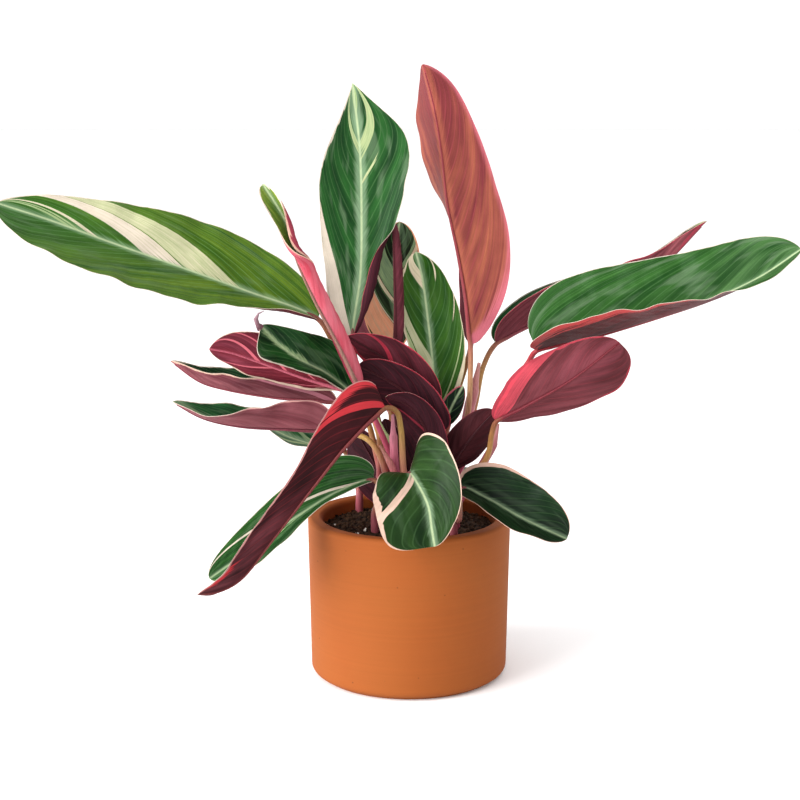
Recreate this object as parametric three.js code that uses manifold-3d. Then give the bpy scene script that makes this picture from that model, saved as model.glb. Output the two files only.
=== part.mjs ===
// Stromanthe Triostar, a prayer plant, growing in a round terracotta pot.
// Millimetres, +Z up. The origin is the middle of the pot's base.

import * as THREE from 'three';
import Module from 'manifold-3d';
import { mergeVertices } from 'three/addons/utils/BufferGeometryUtils.js';

// ---- Driving dimensions ----------------------------------------------------

// Pot: a 150 mm cylinder pot with a thick wall
const POT_HEIGHT = 119;
const POT_RIM_RADIUS = 75;
const POT_FOOT_RADIUS = 73;
const POT_WALL = 11;
const POT_FLOOR = 12;
const POT_ROUND_RIM = 4;
const POT_ROUND_FOOT = 4;
const POT_SIDES = 48;

// Soil: fills the pot to just below the rim
const SOIL_TOP = 112;
const SOIL_CROWN = 2;
const SOIL_GAP = 0.4;

// Stems: each stands in a plain hole in the soil
const STEM_BURIED = 24;
const HOLE_GAP = 0.5;
const HOLE_SIDES = 8;
const STEM_STRAIGHT = 12;

// Leaves
const BLADE_THICKNESS = 0.8;
const HALF = { widest: 0.45, fullness: 1.15 };
const TIP_HALF_WIDTH = 0.4;
const STEM_RADIUS = 2.2; // at the blade
const SHEATH = 0.7; // how much thicker the stem is at the soil
const RIB_DEPTH = 1.2; // how far the midrib stands out of the underside, at the base
const NECK = 0.05; // the share of the blade over which the stem turns into the blade
const CELLS_ALONG = 12;
const CELLS_ACROSS = 4;
const STEM_CELLS = 6;

// Shoots
const SHOOT_RADIUS = 2.4;
const SHOOT_CELLS = 3;

// ---- Colours ---------------------------------------------------------------

const TERRACOTTA = { color: 0xd9803f, roughness: 0.85 };
const SOIL = { color: 0x2e211b, roughness: 1.0 };
const GREEN = { color: 0x2c6b35, roughness: 0.4 };
const MAROON = { color: 0x7a3440, roughness: 0.5 };
const PINK = { color: 0xd24f66, roughness: 0.45 };
const STALK = { color: 0xb58a45, roughness: 0.5 };

// ---- Leaves ----------------------------------------------------------------

// foot is where the stem leaves the soil. stem and blade are the points that the
// midrib passes, from the foot to the blade's base and on to its tip. face is where
// the blade's upper side looks, along the blade. Each half has its width, the angle
// it stands up from the midrib (fold) and its further turn towards the margin (curl);
// a list of angles is spread evenly from base to tip. Left and right are those of
// someone who looks from base to tip with the upper side up.
const leaves = [
  // The long leaves that reach out to the left and right
  {
    name: 'leaf_left_long', finish: GREEN, foot: [-15, 14],
    stem: [[-20, 10, 175], [-36, 3, 225], [-56, -2, 250]],
    blade: [
      [-66, -8, 266], [-117, -14, 287], [-166, -22, 306],
      [-213, -30, 324], [-251, -37, 339], [-285, -44, 351],
    ],
    face: [[0.2, -0.75, 0.66]],
    left: {
      width: [30, 35, 38, 46, 58], widest: 0.48, fullness: 1.0,
      fold: [20], curl: [100, 50, 0, 0, 0, 0],
    },
    right: { width: [43, 40, 37, 33, 31], fullness: 1.25, fold: [20], curl: [0] },
  },
  {
    name: 'leaf_right_long', finish: GREEN, foot: [25, 8],
    stem: [[70, 13, 203], [87, 4, 232]],
    blade: [
      [93, -2, 242], [137, -10, 255], [179, -18, 269],
      [216, -26, 283], [246, -34, 299], [272, -42, 319],
    ],
    face: [[0, -0.47, 0.88]], widest: 0.38, fullness: 0.95,
    left: { width: [60, 49, 43, 46, 62], fold: [50], curl: [0] },
    right: { width: [50, 44, 42, 54, 58], fold: [55, 57, 48, 36, 24], curl: [0] },
  },
  {
    name: 'leaf_right_hidden', finish: MAROON, foot: [24, 30],
    stem: [[49, 40, 189], [57, 52, 222]],
    blade: [[67, 60, 238], [95, 72, 252], [142, 90, 267], [194, 104, 289], [235, 112, 328]],
    face: [[0, 0, 1]],
    left: { width: [27, 25, 18, 17], widest: 0.4, fullness: 1.0, fold: [70], curl: [0] },
    right: { width: [28], widest: 0.32, fullness: 1.3, fold: [70], curl: [0] },
  },
  {
    name: 'leaf_right_low', finish: MAROON, foot: [24, -10],
    stem: [[56, -14, 164], [60, -18, 184]],
    blade: [[63, -20, 193], [81, -24, 204], [115, -34, 226], [147, -44, 254]],
    face: [[0, 0.9, 0.3]],
    left: { width: [16, 20, 26, 33, 34], widest: 0.6, fullness: 0.9, fold: [10], curl: [10] },
    right: { width: [20, 27, 28, 31], widest: 0.42, fullness: 1.0, fold: [10], curl: [10] },
  },

  // The upright leaves
  {
    name: 'leaf_top_middle', finish: GREEN, foot: [-6, 26],
    stem: [[-24, 28, 179], [-39, 24, 228]],
    blade: [[-42, 20, 248], [-36, 26, 294], [-35, 28, 338], [-36, 26, 386], [-41, 18, 433]],
    face: [[0, -1, 0.1]], cells: [14, 8],
    left: { width: [33, 28, 32, 39, 26], widest: 0.39, fullness: 1.55, fold: [5], curl: [10] },
    right: {
      width: [34, 33, 31, 34, 44, 20], widest: 0.5, fullness: 1.3,
      fold: [0, 0, 5, 5], curl: [250, 240, 60, 10, 10],
    },
  },
  {
    name: 'leaf_top_hidden', finish: GREEN, foot: [2, 30],
    stem: [[-13, 30, 184]],
    blade: [[-9, 40, 235], [-10, 46, 273], [-10, 48, 307], [-7, 34, 333]],
    face: [[0, -1, 0.1]],
    left: { width: [26], widest: 0.4, fold: [10], curl: [10] },
    right: { width: [20], widest: 0.6, fold: [10], curl: [10] },
  },
  {
    name: 'leaf_top_right', finish: MAROON, foot: [19, 18],
    stem: [[43, 24, 185], [46, 30, 219]],
    blade: [
      [46, 34, 241], [43, 38, 274], [37, 42, 308], [29, 45, 345],
      [24, 45, 385], [18, 42, 418], [10, 38, 447],
    ],
    face: [[0.65, 0.75, 0]],
    left: { width: [34, 41, 41, 38, 37, 46], widest: 0.45, fullness: 1.3, fold: [45], curl: [0] },
    right: {
      width: [20, 28, 33, 38, 47, 26], widest: 0.58, fullness: 1.2,
      fold: [85, 85, 60, 34, 30, 34], curl: [0],
    },
  },
  {
    name: 'leaf_middle_right', finish: GREEN, foot: [10, 20],
    stem: [[18, 24, 178]],
    blade: [[21, 28, 194], [18, 35, 226], [14, 40, 261], [10, 38, 290], [5, 29, 311]],
    face: [[0.1, -1, 0.2]],
    left: { width: [20], widest: 0.6, fold: [10], curl: [10] },
    right: { width: [26], widest: 0.42, fold: [10], curl: [10] },
  },

  // New leaves, still rolled up
  {
    name: 'leaf_left_spear', finish: PINK, foot: [-9, -13], radius: 3.2,
    stem: [[-11, -16, 159], [-18, -19, 179], [-28, -23, 202]],
    blade: [
      [-36, -26, 219], [-50, -28, 249], [-67, -31, 283],
      [-80, -36, 315], [-86, -40, 338], [-101, -44, 364],
    ],
    face: [[0, 1, 0.2], [0.3, 1, 0.2], [0.8, 0.7, 0.2], [0, -1, 0.2], [0, -1, 0.3]],
    widest: 0.5, fullness: 0.5, cells: [14, 8],
    left: {
      width: [26, 21, 16, 13, 15, 12],
      fold: [45, 45, 45, 45, 45, 25], curl: [135, 135, 135, 135, 60, 0],
    },
    right: {
      width: [24, 20, 15, 12, 15, 7],
      fold: [45, 45, 45, 45, 45, 25], curl: [135, 135, 135, 140, 145, 0],
    },
  },
  {
    name: 'leaf_top_spear', finish: MAROON, foot: [1, 14],
    stem: [[-9, 22, 187]],
    blade: [[-10, 27, 228], [-10, 22, 269], [-11, 19, 304], [-12, 22, 333]],
    face: [[0.5, 0.8, 0]], fullness: 0.5, cells: [10, 6],
    left: { width: [11], fold: [50], curl: [110] }, right: { width: [11], fold: [50], curl: [110] },
  },

  // The fan of leaves on the left
  {
    name: 'leaf_left_pink', finish: MAROON, foot: [-15, -3],
    stem: [[-17, -2, 168], [-31, -4, 202]],
    blade: [[-46, -6, 213], [-76, -8, 223], [-109, -10, 235], [-129, -12, 242], [-144, -14, 245]],
    face: [[0, 0.85, 0.5]],
    left: { width: [22, 22, 24, 28], widest: 0.55, fullness: 1.5, fold: [10], curl: [0] },
    right: { width: [13, 13, 15, 19], widest: 0.55, fullness: 1.5, fold: [0], curl: [0] },
  },
  {
    name: 'leaf_left_green', finish: GREEN, foot: [-23, -9],
    stem: [[-22, -9, 180], [-31, -10, 204]],
    blade: [[-40, -11, 211], [-59, -16, 227], [-79, -28, 240], [-94, -36, 253], [-104, -44, 266]],
    face: [[0, -0.75, 0.66]], widest: 0.55,
    left: { width: [10, 12, 17, 32], widest: 0.75, fullness: 0.7, fold: [25], curl: [0] },
    right: { width: [27, 24, 21, 20], widest: 0.42, fold: [25], curl: [0] },
  },
  {
    name: 'leaf_left_dark', finish: MAROON, foot: [-18, 20],
    stem: [[-25, 16, 164], [-34, 16, 191]],
    blade: [[-54, 14, 201], [-99, 14, 205], [-135, 12, 211], [-154, 10, 217], [-175, 6, 233]],
    face: [[0, 0, 1]],
    left: { width: [28, 19, 17, 13], fold: [55], curl: [0] },
    right: { width: [20, 20, 20, 15], fold: [60], curl: [0] },
  },
  {
    name: 'leaf_left_low', finish: MAROON, foot: [-15, -20],
    stem: [[-17, -19, 153], [-22, -19, 169], [-31, -14, 179]],
    blade: [[-53, -2, 182], [-87, -6, 185], [-123, -12, 188], [-149, -18, 195], [-170, -24, 208]],
    face: [[0, 0, 1]],
    left: { width: [44, 27, 22, 16], fold: [65, 62, 50, 24, 8], curl: [0] },
    right: { width: [15, 16, 19, 14], widest: 0.5, fold: [50], curl: [0] },
  },
  {
    name: 'leaf_left_back', finish: GREEN, foot: [-38, 42],
    stem: [[-43, 54, 143]],
    blade: [[-52, 55, 157], [-72, 54, 160], [-92, 54, 166], [-109, 56, 174]],
    face: [[0, -0.3, 1]], cells: [8, 4],
    left: { width: [20], fold: [20], curl: [0] }, right: { width: [18], fold: [20], curl: [0] },
  },

  // The leaves in the heart of the plant, their undersides outward
  {
    name: 'leaf_middle_high', finish: MAROON, foot: [8, 8],
    stem: [[20, 4, 186]],
    blade: [[18, 4, 198], [4, 8, 215], [-16, 10, 233], [-45, 4, 252]],
    face: [[0.2, 0.9, 0.3]], widest: 0.4,
    left: { width: [19], fold: [10], curl: [10] }, right: { width: [16], fold: [0], curl: [0] },
  },
  {
    name: 'leaf_middle_low', finish: MAROON, foot: [14, -8],
    stem: [],
    blade: [[23, -6, 183], [12, -4, 198], [-7, -4, 215], [-37, -8, 232]],
    face: [[0.2, 0.9, 0.3]],
    fullness: 0.8,
    left: { width: [17], fold: [10], curl: [10] }, right: { width: [22], fold: [5], curl: [0] },
  },
  {
    name: 'leaf_middle_curled', finish: MAROON, foot: [8, -18],
    stem: [],
    blade: [[15, -15, 140], [15, -15, 170], [10, -15, 190], [-1, -16, 204], [-17, -20, 211]],
    face: [[0.2, 0.9, 0.3]],
    left: { width: [14], fold: [10], curl: [10] },
    right: { width: [28, 22, 14], fold: [10], curl: [10] },
  },
  {
    name: 'leaf_right_dark', finish: MAROON, foot: [17, -2],
    stem: [],
    blade: [[27, 2, 150], [38, 0, 167], [51, 0, 184], [63, 0, 197]],
    face: [[0.1, 0.9, 0.3]], fullness: 0.9, cells: [8, 4],
    left: { width: [8, 14, 17, 17], fold: [10], curl: [10] },
    right: { width: [15], fold: [10], curl: [10] },
  },
  {
    name: 'leaf_heart_small', finish: GREEN, foot: [18, 10],
    stem: [],
    blade: [[26, 12, 183], [32, 14, 198], [40, 16, 213]],
    face: [[0, -1, 0.2]], cells: [8, 4],
    left: { width: [8], fold: [10], curl: [0] }, right: { width: [8], fold: [10], curl: [0] },
  },
  {
    name: 'leaf_heart_dark', finish: MAROON, foot: [-12, 38],
    stem: [],
    blade: [[-14, 34, 118], [-25, 34, 148], [-42, 37, 178]],
    face: [[0.2, 0.8, 0.3]], cells: [8, 4],
    left: { width: [13], fold: [10], curl: [0] }, right: { width: [22], fold: [0], curl: [0] },
  },
  {
    name: 'leaf_heart_shade', finish: MAROON, foot: [-2, 2],
    stem: [],
    blade: [[-5, 2, 132], [-10, 1, 162], [-18, 1, 191]],
    face: [[0.1, 0.9, 0.2]], cells: [8, 4],
    left: { width: [12], fold: [5], curl: [0] }, right: { width: [12], fold: [5], curl: [0] },
  },

  // The leaves that hang over the front of the pot
  {
    name: 'leaf_front_hanging', finish: MAROON, foot: [1, -24],
    stem: [[-4, -29, 157], [-6, -32, 189], [-9, -36, 203]],
    blade: [
      [-17, -43, 207], [-42, -60, 187], [-66, -74, 159], [-93, -92, 126],
      [-116, -104, 99], [-131, -108, 92], [-144, -110, 91],
    ],
    face: [[-0.65, 0.5, 0.57]], cells: [14, 4],
    left: {
      width: [34, 25, 19, 22, 34, 60], widest: 0.2, fullness: 1.0,
      fold: [62, 62, 62, 50, 15], curl: [0],
    },
    right: {
      width: [22, 22, 22, 26, 32, 40], widest: 0.3, fullness: 1.2,
      fold: [62, 62, 62, 50, 10], curl: [0],
    },
  },
  {
    name: 'leaf_rim_left', finish: GREEN, foot: [-25, -22],
    stem: [[-19, -29, 144]],
    blade: [[-26, -26, 151], [-50, -34, 145], [-78, -44, 130], [-107, -54, 111], [-141, -66, 89]],
    face: [[-0.2, -0.8, 0.6]], fullness: 0.9,
    left: { width: [8, 6, 18, 26], fold: [25], curl: [0] },
    right: { width: [36, 25, 20, 19], fold: [25], curl: [0] },
  },
  {
    name: 'leaf_rim_middle', finish: GREEN, foot: [8, -30],
    stem: [],
    blade: [[0, -44, 160], [7, -62, 154], [13, -80, 144], [15, -90, 132], [17, -93, 120]],
    face: [[0, -0.3, 1], [0, -1, 0.3]],
    left: { width: [46, 36, 27, 21], widest: 0.35, fullness: 0.8, fold: [72, 50, 20, 10], curl: [0] },
    right: { width: [36, 37, 38, 40], widest: 0.55, fullness: 0.5, fold: [10], curl: [0] },
  },
  {
    name: 'leaf_rim_right', finish: GREEN, foot: [32, -38],
    stem: [[35, -38, 124]],
    blade: [[38, -40, 148], [54, -50, 144], [78, -64, 133], [109, -78, 121]],
    face: [[0.1, -0.7, 0.7]], fullness: 0.8,
    left: { width: [34, 28, 27, 28], fold: [25], curl: [0] },
    right: { width: [24, 23, 28, 34], fold: [38], curl: [0] },
  },

  // The leaves behind
  {
    name: 'leaf_back_high_left', finish: GREEN, foot: [-4, 40],
    stem: [[-12, 46, 180]],
    blade: [[-24, 54, 235], [-30, 62, 280], [-32, 66, 330], [-30, 58, 380]],
    face: [[0, 1, 0.2]], cells: [8, 4],
    left: { width: [24], fold: [15], curl: [0] }, right: { width: [24], fold: [15], curl: [0] },
  },
  {
    name: 'leaf_back_high_right', finish: GREEN, foot: [17, 44],
    stem: [[34, 52, 190]],
    blade: [[48, 60, 238], [54, 69, 290], [50, 73, 330], [42, 72, 368]],
    face: [[0.2, 1, 0.1]], cells: [8, 4],
    left: { width: [17], fold: [15], curl: [0] }, right: { width: [17], fold: [15], curl: [0] },
  },
  {
    name: 'leaf_back_low_left', finish: GREEN, foot: [-22, 50],
    stem: [],
    blade: [[-34, 66, 150], [-50, 88, 152], [-66, 110, 138], [-76, 126, 108]],
    face: [[-0.3, 0.4, 1]], cells: [8, 4],
    left: { width: [22], fold: [15], curl: [0] }, right: { width: [22], fold: [15], curl: [0] },
  },
  {
    name: 'leaf_back_low_middle', finish: GREEN, foot: [4, 52],
    stem: [],
    blade: [[6, 68, 165], [8, 98, 176], [10, 130, 160], [8, 150, 128]],
    face: [[0, 0.3, 1]], cells: [8, 4],
    left: { width: [28], fold: [15], curl: [0] }, right: { width: [28], fold: [15], curl: [0] },
  },
  {
    name: 'leaf_back_low_right', finish: GREEN, foot: [30, 42],
    stem: [],
    blade: [[40, 60, 130], [58, 80, 130], [78, 102, 118], [92, 116, 100]],
    face: [[0.3, 0.4, 1]], cells: [8, 4],
    left: { width: [20], fold: [15], curl: [0] }, right: { width: [22], fold: [15], curl: [0] },
  },
];

// Young shoots: the sheath of a leaf that is still to come
const shoots = [
  { name: 'shoot_front', foot: [-5, -20], radius: 3, points: [[-10, -23, 157], [-12, -26, 199]] },
  { name: 'shoot_pale', foot: [-8, -4], points: [[-10, -8, 154], [-14, -9, 172], [-23, -11, 194]] },
  { name: 'shoot_short', foot: [-10, -30], points: [[-11, -30, 157], [-21, -32, 178]] },
  {
    name: 'shoot_right_high', foot: [34, 22], radius: 4.2,
    points: [[45, 33, 190], [49, 35, 207], [53, 37, 227]],
  },
  {
    name: 'shoot_right_low', foot: [34, -12], radius: 3,
    points: [[56, -3, 161], [62, -7, 174], [65, -10, 189]],
  },
];

// ---- The leaf's shape --------------------------------------------------------

// The value at the fraction t of a list that is spread evenly along the blade
function spread(values, t) {
  const place = t * (values.length - 1);
  const before = Math.min(Math.floor(place), Math.max(values.length - 2, 0));
  const after = Math.min(before + 1, values.length - 1);
  return values[before] + (values[after] - values[before]) * (place - before);
}

function spreadVector(vectors, t) {
  const parts = [0, 1, 2].map((axis) => spread(vectors.map((vector) => vector[axis]), t));
  return new THREE.Vector3(...parts);
}

// How full the blade is at the fraction t of its length: 1 at its widest place
function outline(t, widest, fullness) {
  const rise = widest * fullness;
  const fall = (1 - widest) * fullness;
  const peak = widest ** rise * (1 - widest) ** fall;
  return (t ** rise * (1 - t) ** fall) / peak;
}

// Where a half of the blade is, at the distance `out` from the midrib: its place
// sideways and up, and the angle it stands at there
function crossSection(width, out, fold, curl) {
  const steps = 12;
  let sideways = 0;
  let up = 0;
  let angle = fold;
  for (let step = 0; step < steps; step += 1) {
    const share = ((step + 0.5) / steps) * (out / width);
    angle = fold + curl * share ** 2;
    sideways += Math.cos(angle) * (out / steps);
    up += Math.sin(angle) * (out / steps);
  }
  return { sideways, up, angle: fold + curl * (out / width) ** 2 };
}

// Curve parameters at evenly measured fractions of the stretch from `start` to 1 or `end`
function measured(curve, start, end, fractions) {
  const samples = 120;
  const params = [];
  const lengths = [0];
  let last = curve.getPoint(start);
  for (let i = 0; i <= samples; i += 1) {
    const param = start + ((end - start) * i) / samples;
    const point = curve.getPoint(param);
    params.push(param);
    if (i > 0) lengths.push(lengths[i - 1] + point.distanceTo(last));
    last = point;
  }
  return fractions.map((fraction) => {
    const wanted = fraction * lengths[samples];
    let i = 1;
    while (i < samples && lengths[i] < wanted) i += 1;
    const share = (wanted - lengths[i - 1]) / (lengths[i] - lengths[i - 1]);
    return params[i - 1] + (params[i] - params[i - 1]) * share;
  });
}

// A frame at a point of the midrib: along it, across it to the right, and up out of
// the upper side
function frameAt(curve, param, face) {
  const along = curve.getTangent(param).normalize();
  const up = face.clone().addScaledVector(along, -face.dot(along)).normalize();
  const across = new THREE.Vector3().crossVectors(along, up);
  return { origin: curve.getPoint(param), along, across, up };
}

function place(frame, sideways, up) {
  return frame.origin.clone().addScaledVector(frame.across, sideways).addScaledVector(frame.up, up);
}

// The ring of points round a stem: the upper half from left to right, then the lower
// half back
function stemRing(frame, radius, cells) {
  const ring = [];
  const last = 2 * cells + 1;
  for (let i = 0; i <= last; i += 1) {
    const angle = ((i - cells / 2) * 2 * Math.PI) / (last + 1);
    ring.push(place(frame, radius * Math.sin(angle), radius * Math.cos(angle)));
  }
  return ring;
}

// The ring of points round the blade, in the same order
function bladeRing(frame, leaf, t, cells) {
  const upper = [];
  const lower = [];
  for (let j = 0; j <= cells; j += 1) {
    const share = (2 * j) / cells - 1;
    const side = Math.sign(share);
    const half = { ...HALF, ...leaf, ...(share < 0 ? leaf.left : leaf.right) };
    const full = outline(t, half.widest, half.fullness);
    const width = Math.max(spread(half.width, t) * full, TIP_HALF_WIDTH);
    const fold = THREE.MathUtils.degToRad(spread(half.fold, t)) * Math.abs(side);
    const curl = THREE.MathUtils.degToRad(spread(half.curl, t));
    const at = crossSection(width, width * Math.abs(share), fold, curl);
    const rib = side === 0 ? RIB_DEPTH * (1 - t) : 0;
    const lean = -Math.sin(at.angle) * side;
    const rise = Math.cos(at.angle);
    const thick = BLADE_THICKNESS / 2;
    const middle = [side * at.sideways, at.up];
    upper.push(place(frame, middle[0] + lean * thick, middle[1] + rise * thick));
    lower.unshift(place(frame, middle[0] - lean * (thick + rib), middle[1] - rise * (thick + rib)));
  }
  return [...upper, ...lower];
}

// A closed body through rings of points, each of 2 * cells + 2 points. The quads of
// the lower side are split along the same diagonals as those of the upper side.
function loft(rings, cells) {
  const count = 2 * cells + 2;
  const positions = rings.flat().flatMap((point) => point.toArray());
  const triangles = [];
  for (let i = 0; i + 1 < rings.length; i += 1) {
    for (let m = 0; m < count; m += 1) {
      const next = (m + 1) % count;
      const [a, b] = [i * count + m, i * count + next];
      const [d, c] = [a + count, b + count];
      if (m > cells) triangles.push(a, b, d, b, c, d);
      else triangles.push(a, b, c, a, c, d);
    }
  }
  const end = (rings.length - 1) * count;
  for (let j = 0; j < cells; j += 1) {
    const [a, b, c, d] = [j, j + 1, 2 * cells - j, 2 * cells + 1 - j];
    triangles.push(a, c, b, a, d, c);
    triangles.push(end + a, end + b, end + c, end + a, end + c, end + d);
  }
  const geometry = new THREE.BufferGeometry();
  geometry.setAttribute('position', new THREE.Float32BufferAttribute(positions, 3));
  geometry.setIndex(triangles);
  return geometry;
}

// The route of a leaf or shoot: straight up out of the soil, then through its points
function routeOf(foot, points) {
  const start = [[...foot, SOIL_TOP + SOIL_CROWN], [...foot, SOIL_TOP + SOIL_CROWN + STEM_STRAIGHT]];
  const all = [...start, ...points].map((point) => new THREE.Vector3(...point));
  return new THREE.CatmullRomCurve3(all, false, 'centripetal');
}

// The rings of a stem, from its root in the soil to the parameter `end` of its curve.
// The frames turn as little as they can on the way down from the first blade frame.
function stemRings(curve, end, top, cells, radiusAt) {
  const fractions = Array.from({ length: STEM_CELLS }, (_, i) => i / STEM_CELLS);
  const params = measured(curve, 0, end, fractions);
  let up = top.up;
  const rings = [];
  for (let i = params.length - 1; i >= 0; i -= 1) {
    const frame = frameAt(curve, params[i], up);
    up = frame.up;
    rings.unshift(stemRing(frame, radiusAt(fractions[i]), cells));
  }
  const buried = frameAt(curve, 0, up);
  buried.origin.z = SOIL_TOP - STEM_BURIED;
  rings.unshift(stemRing(buried, radiusAt(0), cells));
  return rings;
}

function leafGeometry(leaf) {
  const [cellsAlong, cellsAcross] = leaf.cells ?? [CELLS_ALONG, CELLS_ACROSS];
  const curve = routeOf(leaf.foot, [...leaf.stem, ...leaf.blade]);
  const base = 1 - (leaf.blade.length - 1) / (curve.points.length - 1);
  const fractions = Array.from({ length: cellsAlong + 1 }, (_, i) => {
    const even = i / cellsAlong;
    return 0.4 * even + 0.6 * (0.5 - 0.5 * Math.cos(Math.PI * even));
  });
  const params = measured(curve, base, 1, fractions);
  const blade = fractions.map((t, i) => {
    const frame = frameAt(curve, params[i], spreadVector(leaf.face, t));
    const round = stemRing(frame, leaf.radius ?? STEM_RADIUS, cellsAcross);
    const flat = bladeRing(frame, leaf, t, cellsAcross);
    const share = THREE.MathUtils.smoothstep(t, 0, NECK);
    return round.map((point, m) => point.lerp(flat[m], share));
  });
  const top = frameAt(curve, base, spreadVector(leaf.face, 0));
  const radiusAt = (fraction) => (leaf.radius ?? STEM_RADIUS) + SHEATH * (1 - fraction);
  const stem = stemRings(curve, base, top, cellsAcross, radiusAt);
  return loft([...stem, ...blade], cellsAcross);
}

// A shoot is a stem alone, round and drawn out to a point
function shootGeometry(shoot) {
  const curve = routeOf(shoot.foot, shoot.points);
  const top = frameAt(curve, 1, new THREE.Vector3(0, -1, 0));
  const radiusAt = (fraction) => (shoot.radius ?? SHOOT_RADIUS) * (1 - 0.5 * fraction ** 3);
  const rings = stemRings(curve, 1, top, SHOOT_CELLS, radiusAt);
  return loft([...rings, stemRing(top, TIP_HALF_WIDTH, SHOOT_CELLS)], SHOOT_CELLS);
}

// ---- Pot and soil ------------------------------------------------------------

function cornerArc(centreX, centreY, radius, from, to) {
  const arc = new THREE.EllipseCurve(centreX, centreY, radius, radius, from, to);
  return arc.getPoints(3);
}

function potGeometry() {
  const inner = POT_RIM_RADIUS - POT_WALL;
  const innerFoot = POT_FOOT_RADIUS - POT_WALL;
  const rimCentre = POT_HEIGHT - POT_ROUND_RIM;
  const quarter = Math.PI / 2;
  const profile = [
    new THREE.Vector2(0, 0),
    ...cornerArc(POT_FOOT_RADIUS - POT_ROUND_FOOT, POT_ROUND_FOOT, POT_ROUND_FOOT, -quarter, 0),
    ...cornerArc(POT_RIM_RADIUS - POT_ROUND_RIM, rimCentre, POT_ROUND_RIM, 0, quarter),
    ...cornerArc(inner + POT_ROUND_RIM, rimCentre, POT_ROUND_RIM, quarter, 2 * quarter),
    new THREE.Vector2(innerFoot, POT_FLOOR),
    new THREE.Vector2(0, POT_FLOOR),
  ];
  return new THREE.LatheGeometry(profile, POT_SIDES).rotateX(Math.PI / 2);
}

function soilGeometry() {
  const top = POT_RIM_RADIUS - POT_WALL - SOIL_GAP * 2;
  const foot = POT_FOOT_RADIUS - POT_WALL - SOIL_GAP * 2;
  const bottom = POT_FLOOR + SOIL_GAP;
  const profile = [
    new THREE.Vector2(0, bottom),
    new THREE.Vector2(foot, bottom),
    new THREE.Vector2(top, SOIL_TOP - SOIL_CROWN),
    new THREE.Vector2(top * 0.7, SOIL_TOP),
    new THREE.Vector2(0, SOIL_TOP),
  ];
  return new THREE.LatheGeometry(profile, POT_SIDES / 2).rotateX(Math.PI / 2);
}

// ---- Joining and cutting -------------------------------------------------------

const wasm = await Module();
wasm.setup();

function toSolid(geometry) {
  const bare = geometry.clone().deleteAttribute('normal').deleteAttribute('uv');
  const merged = mergeVertices(bare);
  return new wasm.Manifold(new wasm.Mesh({
    numProp: 3,
    vertProperties: new Float32Array(merged.attributes.position.array),
    triVerts: new Uint32Array(merged.index.array),
  }));
}

function toGeometry(solid) {
  const { vertProperties, triVerts } = solid.getMesh();
  const geometry = new THREE.BufferGeometry();
  geometry.setAttribute('position', new THREE.BufferAttribute(vertProperties, 3));
  geometry.setIndex(new THREE.BufferAttribute(triVerts, 1));
  return geometry;
}

// A plain upright hole for a stem, open at the soil's top
function stemHole(foot, radius) {
  const depth = STEM_BURIED + HOLE_GAP;
  const height = depth + 10;
  const cutter = new THREE.CylinderGeometry(radius + HOLE_GAP, radius + HOLE_GAP, height, HOLE_SIDES);
  cutter.rotateX(Math.PI / 2);
  cutter.translate(foot[0], foot[1], SOIL_TOP - depth + height / 2);
  return toSolid(cutter);
}

// ---- Assembly ------------------------------------------------------------------

const plant = new THREE.Group();

function addPiece(name, geometry, finish) {
  const mesh = new THREE.Mesh(geometry, new THREE.MeshStandardMaterial({ metalness: 0, ...finish }));
  mesh.name = name;
  plant.add(mesh);
}

addPiece('pot', potGeometry(), TERRACOTTA);

let soil = toSolid(soilGeometry());
for (const leaf of leaves) {
  soil = soil.subtract(stemHole(leaf.foot, (leaf.radius ?? STEM_RADIUS) + SHEATH));
}
for (const shoot of shoots) {
  soil = soil.subtract(stemHole(shoot.foot, shoot.radius ?? SHOOT_RADIUS));
}
addPiece('soil', toGeometry(soil), SOIL);

for (const leaf of leaves) addPiece(leaf.name, leafGeometry(leaf), leaf.finish);
for (const shoot of shoots) addPiece(shoot.name, shootGeometry(shoot), PINK);

export default plant;
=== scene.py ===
"""Stromanthe Triostar, a prayer plant, in a round terracotta pot.

The leaves, stems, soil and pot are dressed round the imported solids. All sizes in this file are
millimetres unless a comment says otherwise, and become metres when a mesh is made.
"""

import math

import bpy
import numpy as np
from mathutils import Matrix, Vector, noise


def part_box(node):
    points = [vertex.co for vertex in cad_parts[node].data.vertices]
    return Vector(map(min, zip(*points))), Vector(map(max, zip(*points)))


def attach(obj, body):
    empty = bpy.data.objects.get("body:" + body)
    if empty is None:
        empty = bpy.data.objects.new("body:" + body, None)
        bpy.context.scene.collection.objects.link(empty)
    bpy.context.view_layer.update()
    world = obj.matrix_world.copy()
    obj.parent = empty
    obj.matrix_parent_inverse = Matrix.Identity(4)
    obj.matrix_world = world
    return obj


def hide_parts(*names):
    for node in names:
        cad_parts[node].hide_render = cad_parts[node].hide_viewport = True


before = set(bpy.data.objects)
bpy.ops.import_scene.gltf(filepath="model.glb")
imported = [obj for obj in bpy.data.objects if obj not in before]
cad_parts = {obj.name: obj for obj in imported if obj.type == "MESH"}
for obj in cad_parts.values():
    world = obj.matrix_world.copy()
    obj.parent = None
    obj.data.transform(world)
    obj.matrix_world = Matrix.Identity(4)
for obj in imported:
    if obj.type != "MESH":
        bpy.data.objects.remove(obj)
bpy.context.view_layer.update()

bl_info = {
    "name": "Prayer plant",
    "version": (1, 0, 0),
    "blender": (4, 5, 0),
    "location": "View3D > Sidebar > Plant",
    "description": "A stromanthe with cream, green and maroon leaves in a terracotta pot",
    "category": "Object",
}

MM = 0.001


# ---- What the solids give ----

POT_HIGH = Vector(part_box("pot")[1]) / MM

# How the stems and blades run, as in the solids
SOIL_LEVEL = 112.0
ROUTE_START = 114.0
STEM_STRAIGHT = 12.0
STEM_DEPTH = 10.0
TIP_HALF_WIDTH = 0.4

# Sides of the blade, seen with the upper side up and the tip ahead
SIDES = (("left", -1), ("right", 1))


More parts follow.
